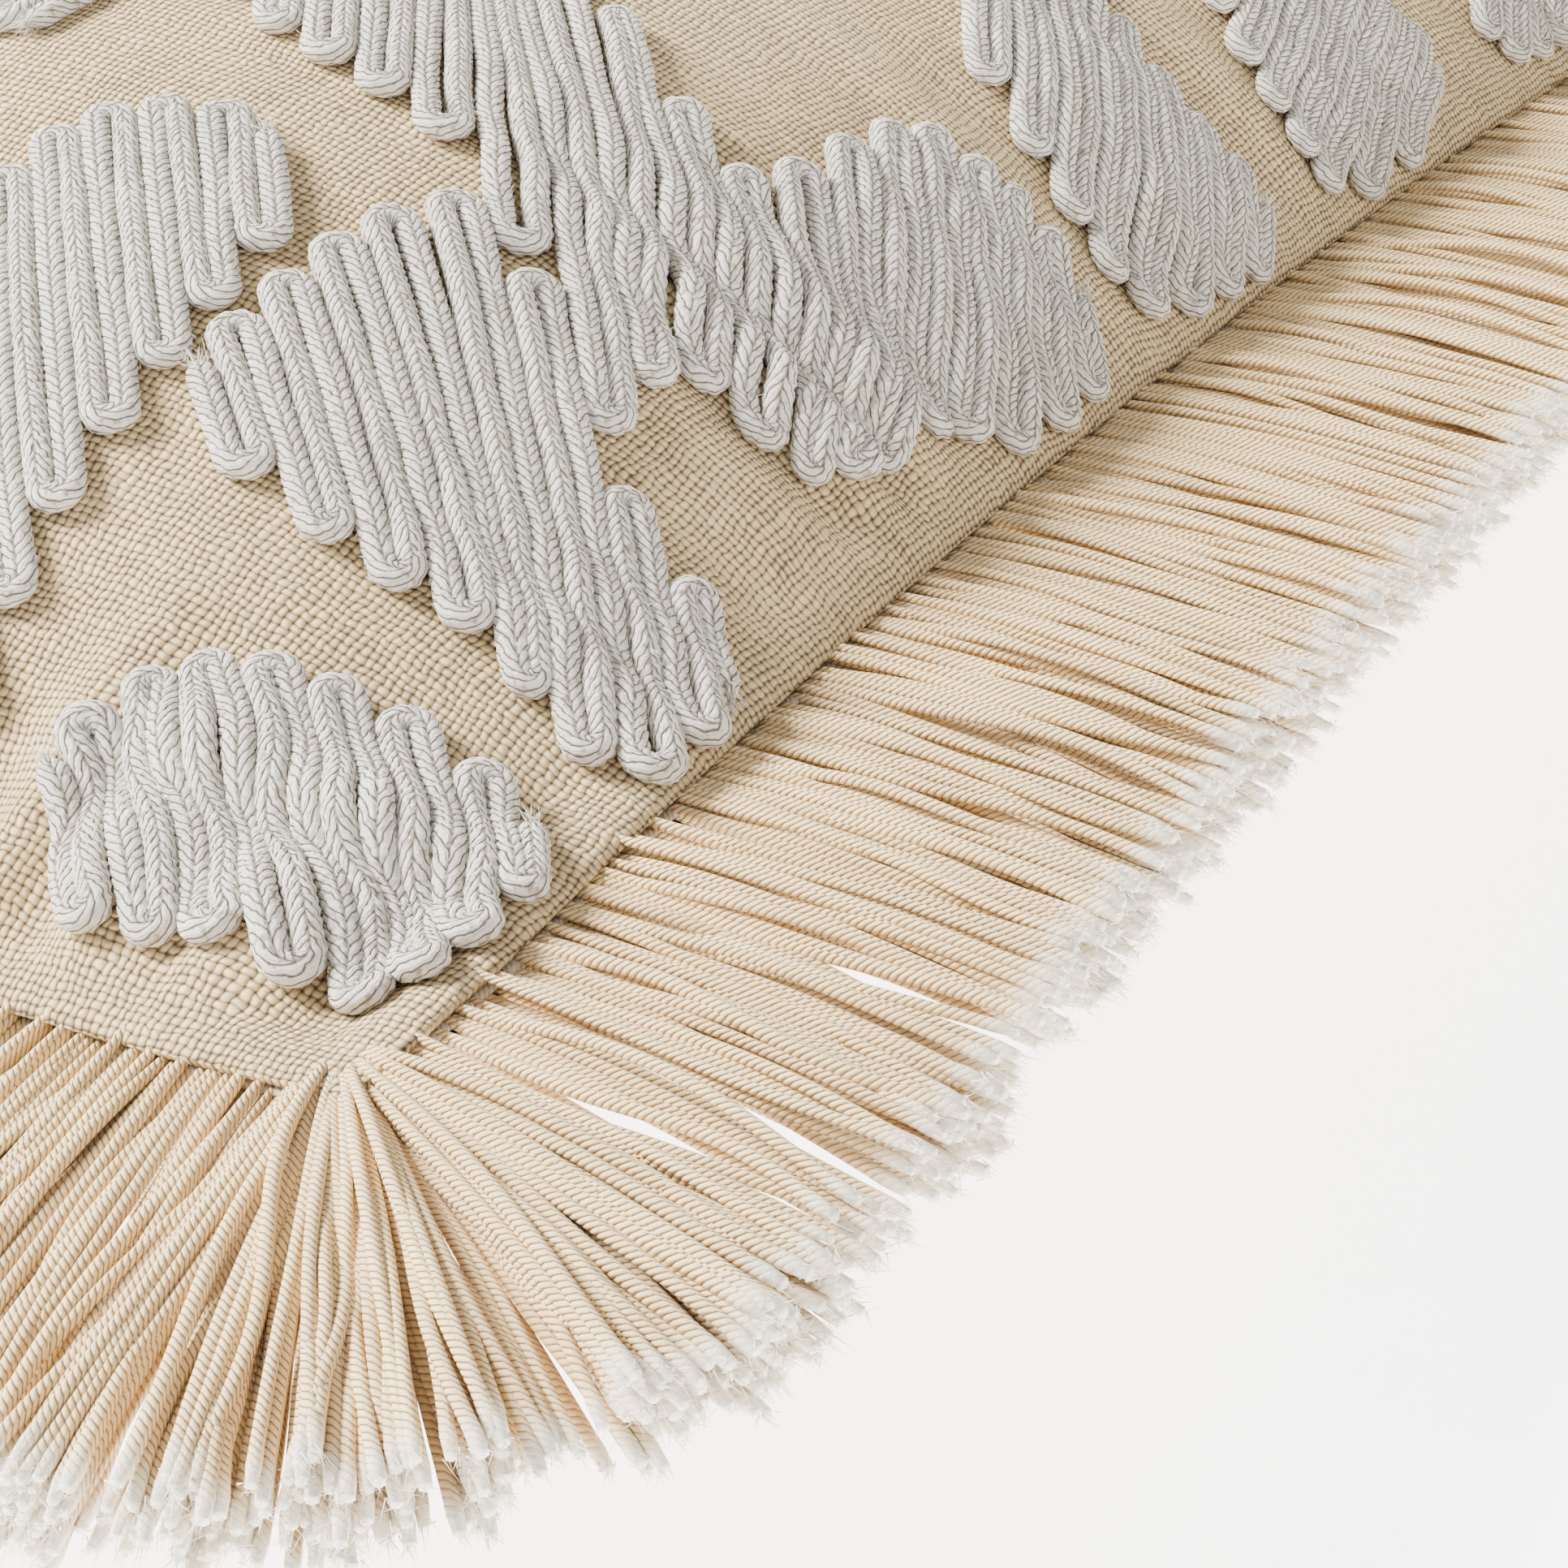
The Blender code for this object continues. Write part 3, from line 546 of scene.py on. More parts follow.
def plain_cloth_material(name, colour, pitch, relief=0.0001):
    """Fine even cloth for tapes and casing."""
    n = Nodes(name)
    place = n.position(1 / pitch)
    split = n.add("ShaderNodeSeparateXYZ")
    n.link(place, split.inputs[0])
    x, y = split.outputs[0], split.outputs[1]
    rib = n.math("ABSOLUTE", n.math("COSINE", n.times(n.plus(x, y), math.pi)))
    cross = n.math("ABSOLUTE", n.math("COSINE", n.times(n.minus(x, y), math.pi / 2)))
    height = n.times(rib, n.plus(0.6, n.times(cross, 0.4)))
    cloud = n.noise(n.position(60.0), 1.0, 4.0)
    # Painted shade in the grooves of the rib, where the cloth is low, together with random cloudy tone.
    shade = n.plus(n.ramp(height, 0, 1, 0.82, 1.02), n.swing(cloud, 0.16))
    tone = n.shaded((*colour, 1), shade)
    return n.finish(tone, 0.9, n.bump(height, relief, 0.7), sheen=0.15)


def metal_material(name):
    """Satin zinc with fine scratches and worn edges."""
    n = Nodes(name)
    scratch = n.noise(n.position(2500.0), 1.0, 3.0, 0.7)
    cloud = n.noise(n.position(300.0), 1.0, 3.0)
    wear = n.add("ShaderNodeBevel", samples=4)
    wear.inputs["Radius"].default_value = 0.0002
    tone = n.mix(n.ramp(cloud, 0.35, 0.7), (0.58, 0.55, 0.50, 1), (0.70, 0.68, 0.64, 1))
    rough = n.plus(n.ramp(scratch, 0.3, 0.7, 0.26, 0.42), n.times(cloud, 0.08))
    n.shader.inputs["Metallic"].default_value = 1.0
    bump = n.bump(scratch, 0.00002, 0.5, wear.outputs[0])
    made = n.finish(tone, rough, bump)
    n.shader.inputs["Sheen Weight"].default_value = 0.0
    n.shader.inputs["Specular IOR Level"].default_value = 0.5
    return made


CANVAS = canvas_material("canvas_weave")
BRAID = braid_material("cord_braid")
YARN = yarn_material("fringe_yarn")
TAPE = plain_cloth_material("zip_tape_twill", (0.60, 0.50, 0.37), 0.0007)
CASING = plain_cloth_material("casing_fleece", (0.86, 0.86, 0.84), 0.0012)
FIBRE = plain_cloth_material("filling_fibre", (0.92, 0.92, 0.91), 0.003, 0.0006)
METAL = metal_material("zip_zinc")
HEADER = plain_cloth_material("header_tape", (0.62, 0.50, 0.34), 0.0008, 0.0002)
THREAD = plain_cloth_material("sewing_thread", (0.66, 0.52, 0.34), 0.0003, 0.0001)
NYLON = plain_cloth_material("zip_nylon", (0.62, 0.48, 0.31), 0.0004, 0.00003)
NYLON.node_tree.nodes["Principled BSDF"].inputs["Specular IOR Level"].default_value = 0.5


# ---------------------------------------------------------------- cover
TRIAL_STATIONS = 111
TRIAL_FRAMES = 22
TRIAL_SETTINGS = {"quality": 6, "mass": 0.25, "tension_stiffness": 18, "compression_stiffness": 18,
                  "shear_stiffness": 6, "bending_stiffness": 0.6, "use_pressure": True,
                  "uniform_pressure_force": 4.0, "vertex_group_mass": "seam",
                  "vertex_group_shrink": "ease", "shrink_min": -0.004, "shrink_max": -0.055,
                  "time_scale": 1.0}
MAX_SAG = 0.003
CREASE_PITCH = 0.021
CREASE_HEIGHT = 0.0025
HEM_WIDTH = 0.0085
BAND_NEAR_ZIP = 0.012


def simulated_offsets(count):
    """Offsets of both panels from their plain shape, from a cloth simulation of the stuffed cover."""
    axis = stations(count)
    a, b = np.meshgrid(axis, axis)
    front = front_points(a, b)
    back = back_points(a, b)
    n = count * count
    edge = np.zeros((count, count), bool)
    edge[0] = edge[-1] = True
    edge[:, 0] = edge[:, -1] = True
    seam = (front + back) / 2
    front[edge] = seam[edge]
    inner_ids = np.full(n, -1)
    inside = ~edge.ravel()
    inner_ids[inside] = n + np.arange(inside.sum())
    inner_ids[~inside] = np.arange(n)[~inside]
    verts = np.concatenate((front.reshape(-1, 3), back.reshape(-1, 3)[inside]))
    quads = grid_faces(count, count)
    faces = np.concatenate((quads, inner_ids[quads][:, ::-1]))
    body = build_mesh("cloth_trial", verts, faces, CANVAS, smooth=False)
    pins = body.vertex_groups.new(name="seam")
    pins.add(np.flatnonzero(edge).tolist(), 1.0, "REPLACE")
    pins.add(np.flatnonzero(verts[:, 2] < 0.0008).tolist(), 1.0, "REPLACE")
    ease = body.vertex_groups.new(name="ease")
    share = np.maximum(np.abs(a), np.abs(b)).ravel()
    weight = np.clip((share - 0.72) / 0.28, 0, 1)
    for position in range(n):
        if weight[position] > 0.01:
            ease.add([position], float(weight[position]), "REPLACE")
            if inner_ids[position] >= n:
                ease.add([int(inner_ids[position])], float(weight[position]), "REPLACE")
    cloth = body.modifiers.new("cloth", "CLOTH")
    setting = cloth.settings
    for key, value in TRIAL_SETTINGS.items():
        setattr(setting, key, value)
    setting.effector_weights.gravity = 0
    cloth.collision_settings.use_collision = False
    cloth.point_cache.frame_start = 1
    cloth.point_cache.frame_end = TRIAL_FRAMES + 2
    scene = bpy.context.scene
    for number in range(1, TRIAL_FRAMES + 1):
        scene.frame_set(number)
    ready = body.evaluated_get(bpy.context.evaluated_depsgraph_get())
    moved = np.empty(len(verts) * 3, dtype=np.float32)
    ready.data.vertices.foreach_get("co", moved)
    moved = moved.reshape(-1, 3).astype(float) - verts
    scene.frame_set(1)
    bpy.data.objects.remove(body, do_unlink=True)
    front_move = moved[:n].reshape(count, count, 3)
    back_move = moved[inner_ids].reshape(count, count, 3)
    return axis, front_move, back_move


def smoothed(field, passes):
    for _ in range(passes):
        padded = np.pad(field, ((1, 1), (1, 1), (0, 0)), mode="edge")
        field = (padded[:-2, 1:-1] + padded[2:, 1:-1] + padded[1:-1, :-2] + padded[1:-1, 2:]
                 + 4 * padded[1:-1, 1:-1]) / 8
    return field


def analytic_creases(a, b, normal):
    """Soft creases that run in from the seams, where the tape gathers the cloth, and a slight unevenness."""
    total = np.zeros(a.shape)
    for number, (across, along, side) in enumerate(((a, b, 1), (a, b, -1), (b, a, 1), (b, a, -1))):
        distance = (1 - np.clip(across * side, -1, 1)) * MID_HALF
        lane = along * MID_HALF / CREASE_PITCH + value_noise(along * 9 + 40 * number, 3 + number) * 0.8
        reach = 0.030 + 0.014 * value_noise(along * 14 + 90, 13 + number)
        fade = np.exp(-(distance / reach) ** 2) * np.clip(distance / 0.006, 0, 1)
        strength = 0.5 + 0.5 * value_noise(along * 11 + 10, 23 + number)
        total += fade * strength * CREASE_HEIGHT * np.sin(2 * math.pi * lane)
    total += 0.0007 * noise2(a * 9 + 20, b * 9 + 20, 5) * (1 - np.maximum(np.abs(a), np.abs(b)) ** 8)
    return normal * total[..., None]


def grid_normals(points):
    along = np.gradient(points, axis=1)
    up = np.gradient(points, axis=0)
    return unit(np.cross(along, up))


class Panel:
    """A cover panel: points, normals and cloth coordinates on a grid of stations."""

    def __init__(self, shape, moves, count, flip):
        self.axis = stations(count)
        self.a, self.b = np.meshgrid(self.axis, self.axis)
        points = shape(self.a, self.b)
        sign = -1 if flip else 1
        normal = grid_normals(points) * sign
        offset = analytic_creases(self.a, self.b, normal) * (0.6 if flip else 1.0)
        if moves is not None:
            axis, field = moves
            detail = field - smoothed(field, 60)
            size = np.linalg.norm(detail, axis=-1, keepdims=True)
            detail = detail * np.minimum(1, MAX_SAG / np.maximum(size, 1e-9))
            offset = offset + bilinear(detail, axis, self.a, self.b)
        edge = np.clip((1 - np.maximum(np.abs(self.a), np.abs(self.b))) / 0.02, 0, 1)[..., None]
        if flip:
            from_zip = np.maximum(np.abs(self.b - ZIP_ROW) * MID_HALF / 0.018,
                                  (np.abs(self.a) * MID_HALF - OPENING_HALF) / 0.018)
            edge = edge * np.clip(from_zip - 1, 0, 1)[..., None]
        self.points = points + offset * edge
        if flip:
            self.points[..., 2] = np.maximum(self.points[..., 2], 0.0)
        self.normals = grid_normals(self.points) * sign
        self.uv = self.cloth_coordinates()

    def cloth_coordinates(self):
        """Even cloth coordinates along each row and column, in metres from the middle."""
        def even(points):
            step = np.linalg.norm(np.diff(points, axis=1), axis=-1)
            run = np.concatenate((np.zeros((len(points), 1)), np.cumsum(step, 1)), 1)
            return (run / run[:, -1:] * 2 - 1) * CLOTH_HALF

        u = even(self.points)
        v = even(self.points.transpose(1, 0, 2)).T
        return np.stack((u, v), -1)

    def at(self, a, b):
        return bilinear(self.points, self.axis, a, b), unit(bilinear(self.normals, self.axis, a, b))

    def weave_at(self, a, b):
        return bilinear(self.uv, self.axis, a, b)


def make_panels():
    """The front and the back as grids of points, with the sag of the simulation."""
    moves = None
    axis, front, back = simulated_offsets(TRIAL_STATIONS)
    moves = ((axis, front), (axis, back))
    front = Panel(front_points, moves and moves[0], SURFACE_CELLS + 1, False)
    back = Panel(back_points, moves and moves[1], SURFACE_CELLS + 1, True)
    return front, back


FRONT, BACK = make_panels()


def show(piece, slot, *nodes):
    """The piece rides on the pillow and stands for these CAD nodes."""
    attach(piece, "pillow")
    if nodes:
        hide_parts(*nodes)
    return piece


def add_back_panel(name, side, node):
    """One panel of the back, with a stitched hem along the zip."""
    a = BACK.axis[None, :]
    x = np.abs(a) * MID_HALF
    opened = np.clip((OPENING_HALF + ZIP_END_TAPER - x) / ZIP_END_TAPER, 0, 1)
    half_opening = GAP / 2 + (ZIP_OPENING - GAP) / 2 * opened
    edge = ZIP_ROW + side * half_opening / MID_HALF
    near = np.linspace(0, BAND_NEAR_ZIP, 26) / MID_HALF
    reach = np.abs(side - ZIP_ROW) - near[-1]
    far_count = int(SURFACE_CELLS * 0.8) if side > 0 else 20
    far = near[-1] + reach * (1 - (1 - np.linspace(0, 1, far_count + 1)[1:]) ** 1.25)
    share = np.concatenate((near, far))[:, None] / np.abs(side - ZIP_ROW)
    b = edge + (side - edge) * share
    a = np.broadcast_to(a, b.shape)
    points, normals = BACK.at(a, b)
    from_edge = np.abs(b - edge) * MID_HALF
    fold = np.clip(from_edge / 0.0007, 0, 1) ** 0.5 * np.clip((HEM_WIDTH - from_edge) / 0.0014, 0, 1)
    pucker = 0.7 + 0.3 * np.cos(2 * math.pi * a * MID_HALF / STITCH_PITCH)
    stitch = np.exp(-((from_edge - HEM_STITCH) / 0.0007) ** 2) * pucker
    points = points + normals * (0.0006 * fold - 0.0004 * stitch * fold)[..., None]
    points[..., 2] = np.maximum(points[..., 2], 0.0)
    inner = points - normals * CLOTH * 0.9
    rows = slice(None) if side > 0 else slice(None, None, -1)
    uv = BACK.weave_at(a, b)
    panel = shell(name, points[rows], inner[rows], uv[rows], CANVAS, flip=True)
    return show(panel, "canvas", node)


def add_zip_stitches():
    """The two rows of stitches that hold the tapes."""
    paths = []
    for side in (1, -1):
        for centre in np.arange(-0.151, 0.151, STITCH_PITCH):
            x = centre + np.linspace(-STITCH_LENGTH / 2, STITCH_LENGTH / 2, 5)
            a = x / MID_HALF
            b = np.full(5, ZIP_ROW + side * (ZIP_OPENING / 2 + HEM_STITCH) / MID_HALF)
            points, normals = BACK.at(a, b)
            arch = np.array([-0.0003, 0.0003, 0.00045, 0.0003, -0.0003])
            paths.append(points + normals * arch[:, None])
    centre = np.stack(paths)
    sides = 6
    ring = rings_round(centre, np.full(centre.shape[:2], STITCH_RADIUS), sides)[0]
    one = np.concatenate((tube_faces(5, sides), [(3, 2, 1, 0), (5, 4, 3, 0)],
                          [(24, 25, 26, 27), (24, 27, 28, 29)]))
    faces = (one[None] + np.arange(len(paths))[:, None, None] * 5 * sides).reshape(-1, 4)
    verts = ring.reshape(-1, 3)
    show(build_mesh("zip_stitches", verts, faces, THREAD, np.zeros((len(verts), 2))), "canvas")


def add_header():
    """The woven header tape of the fringe, which lies in the seam."""
    count = 260
    share = np.linspace(-1, 1, count, endpoint=False)
    x, y = plan(np.ones(count), share)
    outer = np.concatenate([turn_about(np.stack((x, y, np.zeros(count)), -1), side) for side in range(4)])
    inner = outer * (MID_HALF - HEADER_WIDTH) / MID_HALF
    number = np.arange(len(outer))
    section = ((0.0, 0.0), (0.06, 0.8), (0.25, 1.0), (0.45, 0.7), (0.65, 1.0), (0.92, 0.8), (1.0, 0.0),
               (0.92, -0.8), (0.65, -1.0), (0.45, -0.7), (0.25, -1.0), (0.06, -0.8))
    rows = []
    for place, height in section:
        row = outer + (inner - outer) * place
        rib = 0.82 + 0.18 * np.cos(2 * math.pi * number / 2.0 + place * 3)
        row[:, 2] = SEAM_HEIGHT + height * HEADER_THICKNESS / 2 * rib
        rows.append(row)
    points = np.stack(rows, 1)
    rings, sides = points.shape[:2]
    i, j = np.meshgrid(np.arange(rings), np.arange(sides), indexing="ij")
    k, m = (i + 1) % rings, (j + 1) % sides
    faces = np.stack((i * sides + j, i * sides + m, k * sides + m, k * sides + j), -1).reshape(-1, 4)
    show(build_mesh("header_tape", points.reshape(-1, 3), faces, HEADER), "fringe_cotton", "fringe_header")


def insert_face(a, b, sign, lift, crown, inset):
    """A point grid of the insert on one side of the seam, with the unevenness of stuffed cloth."""
    scale = (MID_HALF - inset) / MID_HALF
    x, y = plan(a, b)
    share = front_share(a, b) if sign > 0 else back_share(a, b)
    dent = 0.5 + 0.35 * noise2(a * 8 + 30, b * 8 + 30, 71) + 0.15 * noise2(a * 21 + 50, b * 21 + 50, 72)
    height = SEAM_HEIGHT + sign * (lift + (crown - 0.0015 * dent) * share)
    return np.stack((x * scale, y * scale, height), -1)


def add_insert():
    """The two faces of the casing, and the filling inside it."""
    axis = stations(97)
    a, b = np.meshgrid(axis, axis)
    uv = np.stack((a, b), -1) * CLOTH_HALF
    front_crown = FRONT_CROWN - INSERT_SLACK
    back_crown = SEAM_HEIGHT - CLOTH - GAP - GAP / 2 - CASING_THICKNESS
    for name, sign, crown in (("front", 1, front_crown), ("back", -1, back_crown)):
        outer = insert_face(a, b, sign, GAP / 2 + CASING_THICKNESS, crown, INSERT_INSET)
        inner = insert_face(a, b, sign, GAP / 2, crown, INSERT_INSET)
        show(shell("casing_" + name, outer, inner, uv, CASING, flip=sign < 0), "casing_cloth",
             "insert_casing_" + name)
    upper = insert_face(a, b, 1, 0.0012, front_crown - 0.0035, INSERT_INSET + 0.003)
    lower = insert_face(a, b, -1, 0.0012, back_crown - 0.0035, INSERT_INSET + 0.003)
    filling = shell("filling", upper, lower, uv, FIBRE)
    show(filling, "polyester_fibre", "insert_filling")


def add_zip():
    """The two tapes with their coils. The slider, its tab and the stops are shown from the CAD."""
    columns = np.linspace(-OPENING_HALF + GAP, OPENING_HALF - GAP, 401) / MID_HALF
    offsets = np.linspace(ZIP_TAPE_EDGE, ZIP_TAPE_REACH, 15)
    for name, side in (("main", 1), ("strip", -1)):
        rows = ZIP_ROW + side * offsets / MID_HALF
        a, b = np.meshgrid(columns, rows)
        rib = 0.00005 * np.cos(np.arange(401)[None, :] * math.pi) * np.cos(np.arange(15)[:, None] * math.pi)
        low = back_points(a, b, -COVER_LIFT + GAP)
        high = back_points(a, b, -COVER_LIFT + GAP + ZIP_TAPE_THICKNESS)
        low[..., 2] += rib
        uv = np.stack((a, b), -1) * MID_HALF
        order = slice(None) if side > 0 else slice(None, None, -1)
        show(shell("tape_" + name, low[order], high[order], uv[order], TAPE, flip=True), "zip_tape",
             "zip_tape_" + name)
        add_coil(name, side)
    for node in ("zip_slider", "zip_pull_tab", "zip_stop_closed_end", "zip_stop_open_end"):
        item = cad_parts[node]
        item.data.materials.clear()
        item.data.materials.append(METAL)
        soft = item.modifiers.new("soft_edges", "BEVEL")
        soft.width = 0.00018
        soft.segments = 3
        soft.limit_method = "ANGLE"


def add_coil(name, side):
    """The nylon coil along one tape: a wire wound round a straight core."""
    low, high = (np.array(corner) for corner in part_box("zip_coil_" + name))
    radius = (high[2] - low[2]) / 2
    wire, pitch = COIL_WIRE, COIL_PITCH
    steps = 14
    turns = int((high[0] - low[0] - 2 * wire) / pitch)
    t = np.arange(turns * steps + 1) / steps
    x = low[0] + wire + t * pitch
    angle = 2 * math.pi * t + (0 if side > 0 else math.pi)
    y = (low[1] + high[1]) / 2 + (radius - wire) * np.cos(angle)
    z = (low[2] + high[2]) / 2 + (radius - wire) * np.sin(angle)
    centre = np.stack((x, y, z), -1)
    forward = unit(np.gradient(centre, axis=0))
    across = unit(np.cross(forward, np.array([1.0, 0.0, 0.0])))
    above = np.cross(across, forward)
    sides = 6
    points = tube(centre, across, above, wire, wire, sides)
    rings = len(centre)
    faces = tube_faces(rings, sides)
    last = (rings - 1) * sides
    caps = [(3, 2, 1, 0), (5, 4, 3, 0),
            (last, last + 1, last + 2, last + 3), (last, last + 3, last + 4, last + 5)]
    coil = build_mesh("coil_" + name, points.reshape(-1, 3), np.concatenate((faces, caps)), NYLON)
    show(coil, "zip_coil", "zip_coil_" + name)


def add_covers():
    """The front panel and both back panels."""
    inner = FRONT.points - FRONT.normals * CLOTH * 0.9
    front = shell("cover_front", FRONT.points, inner, FRONT.uv, CANVAS)
    show(front, "canvas", "front_cover")
    add_back_panel("cover_back_main", 1, "back_cover_main")
    add_back_panel("cover_back_strip", -1, "back_cover_zip_strip")


def turn_about(points, side):
    """Turn points by a quarter for each side after the first, the right one."""
    for _ in range(side):
        points = np.stack((-points[..., 1], points[..., 0], points[..., 2]), -1)
    return points


add_covers()
add_zip_stitches()
add_header()
add_insert()
add_zip()


# ---------------------------------------------------------------- cords
HAIRS_PER_METRE = 900
FRAY_FIBRES = 60


class Cloth:
    """Finds the station of a point given by its distances along the cloth from the right and bottom seams."""

    def __init__(self):
        self.axis = np.linspace(-1, 1, 481)
        self.table = self.runs()

    def runs(self):
        """Length along the front from the right seam, by row b and station a."""
        b, a = np.meshgrid(self.axis, self.axis, indexing="ij")
        points = front_points(a, b)
        step = np.linalg.norm(np.diff(points[:, ::-1], axis=1), axis=-1)
        run = np.concatenate((np.zeros((len(b), 1)), np.cumsum(step, 1)), 1)
        return run[:, ::-1]

    def look_up(self, a, b):
        return bilinear(self.table, self.axis, a, b)

    def station(self, distance, other):
        low, high = -np.ones_like(distance), np.ones_like(distance)
        for _ in range(22):
            middle = (low + high) / 2
            far = self.look_up(middle, other) > distance
            low = np.where(far, middle, low)
            high = np.where(far, high, middle)
        return (low + high) / 2

    def place(self, from_right, from_bottom):
        a = 1 - from_right / MID_HALF
        b = 1 - from_bottom / MID_HALF
        a, b = np.clip(a, -1, 1), np.clip(b, -1, 1)
        for _ in range(4):
            a = self.station(from_right, b)
            b = self.station(from_bottom, a)
        return a, -b


CLOTH_MAP = Cloth()


def resample(points, step):
    length = np.concatenate(([0], np.cumsum(np.linalg.norm(np.diff(points, axis=0), axis=1))))
    count = max(4, int(round(length[-1] / step)) + 1)
    s = np.linspace(0, length[-1], count)
    return np.stack([np.interp(s, length, points[:, k]) for k in range(points.shape[1])], 1), s


def serpentine(upper, lower, seed):
    """Path of a cord laid to and fro between two rails, in metres on the cloth, with its turn loops."""
    rng = np.random.default_rng(seed)
    upper = np.asarray(upper, float) / 1000
    lower = np.asarray(lower, float) / 1000
    t = np.linspace(0, len(upper) - 1, 1600)
    knots = np.arange(len(upper))
    top = np.stack([np.interp(t, knots, upper[:, k]) for k in (0, 1)], 1)
    bottom = np.stack([np.interp(t, knots, lower[:, k]) for k in (0, 1)], 1)
    middle = (top + bottom) / 2
    way = unit(top - bottom)
    move = np.diff(middle, axis=0)
    advance = np.abs(move[:, 0] * way[1:, 1] - move[:, 1] * way[1:, 0])
    run = np.concatenate(([0], np.cumsum(advance)))
    count = max(3, int(round(run[-1] / CORD_PITCH)))
    places = (np.arange(count) + 0.5) * run[-1] / count
    top = np.stack([np.interp(places, run, top[:, k]) for k in (0, 1)], 1)
    bottom = np.stack([np.interp(places, run, bottom[:, k]) for k in (0, 1)], 1)
    top = top + unit(top - bottom) * rng.normal(0, 0.0004, (count, 1))
    ends = {True: top.copy(), False: bottom.copy()}
    for k in range(count - 1):
        at_top = k % 2 == 1
        side = ends[at_top]
        heading = unit((top[k] - bottom[k]) + (top[k + 1] - bottom[k + 1]))
        level = (side[k] @ heading + side[k + 1] @ heading) / 2
        inset = -CORD_PITCH / 2 if at_top else CORD_PITCH / 2
        for j in (k, k + 1):
            side[j] = side[j] + heading * (level - side[j] @ heading + inset)
    path = []
    for k in range(count):
        down = k % 2 == 0
        start, end = ends[down][k], ends[not down][k]
        course = bottom[k] - top[k] if down else top[k] - bottom[k]
        if (end - start) @ course < 0:
            start = end = (start + end) / 2
        share = np.linspace(0, 1, 12)[:, None]
        path.append(start + (end - start) * share)
        if k + 1 < count:
            following = ends[not down][k + 1]
            centre = (end + following) / 2
            spoke = end - centre
            heading = unit(end - start if np.linalg.norm(end - start) > 1e-6 else course)
            angle = np.linspace(0, math.pi, 9)[1:-1, None]
            path.append(centre + spoke * np.cos(angle) + heading * np.linalg.norm(spoke) * np.sin(angle))
    return np.concatenate(path)


def cord_tube(name, path, locate, nodes, seed):
    """A braided cord along a path on the cloth. locate gives the surface's points and normals."""
    rng = np.random.default_rng(seed)
    path, run = resample(path, RING_STEP)
    centre, normal = locate(path)
    forward = unit(np.gradient(centre, axis=0))
    across = unit(np.cross(forward, normal))
    above = unit(np.cross(across, forward))
    wave = value_noise(run / 0.009 + seed * 17.3, seed + 1)
    swell = value_noise(run / 0.005 + seed * 7.1, seed + 2)
    sway = value_noise(run / 0.012 + seed * 3.7, seed + 3)
    width = CORD_WIDTH / 2 * (1 + 0.05 * swell)
    height = CORD_HEIGHT / 2 * (1 + 0.07 * wave)
    centre = (centre + normal * (CORD_HEIGHT / 2 + 0.0001 + 0.00022 * wave)[:, None]
              + across * (0.00018 * sway)[:, None])
    taper = np.minimum(1, np.minimum(run, run[-1] - run) / 0.0022) ** 0.5
    taper = np.maximum(taper, 0.25)
    angles = np.linspace(0, 2 * math.pi, RING_SIDES, endpoint=False)
    turned = (angles + math.pi) % (2 * math.pi) - math.pi
    arc = turned * CORD_WIDTH / 2
    pace = run + 0.0009 * value_noise(run / 0.006 + seed, seed + 4)
    phase = (pace[:, None] + np.abs(arc)[None] * BRAID_SLANT) / BRAID_PITCH + np.sign(turned)[None] * 0.25
    strand = np.abs(np.cos(math.pi * phase)) ** 0.7
    middle = 0.45 + 0.55 * np.clip(np.abs(arc) / 0.0006, 0, 1)[None]
    relief = (strand * middle - 0.55) * 0.00030 + rng.normal(0, 0.00003, phase.shape)
    radii_across = (width * taper)[:, None] + relief
    radii_above = (height * taper)[:, None] + relief
    points = tube(centre, across, above, radii_across, radii_above, RING_SIDES)
    rings = len(run)
    verts = points.reshape(-1, 3)
    uv = np.stack((np.broadcast_to(arc, (rings, RING_SIDES)),
                   np.broadcast_to(pace[:, None], (rings, RING_SIDES))), -1).reshape(-1, 2)
    faces = tube_faces(rings, RING_SIDES)
    verts = np.concatenate((verts, centre[:1], centre[-1:]))
    uv = np.concatenate((uv, uv[:1], uv[-1:]))
    n = rings * RING_SIDES
    j = np.arange(RING_SIDES // 2) * 2
    first = np.stack((np.full(len(j), n), (j + 2) % RING_SIDES, j + 1, j), -1)
    base = (rings - 1) * RING_SIDES
    last = np.stack((np.full(len(j), n + 1), base + j, base + j + 1, base + (j + 2) % RING_SIDES), -1)
    faces = np.concatenate((faces, first, last))
    cord = build_mesh(name, verts, faces, BRAID, uv)
    show(cord, "braided_cord", *nodes)
    return run[-1], cord_hairs(points, centre, forward, rng)


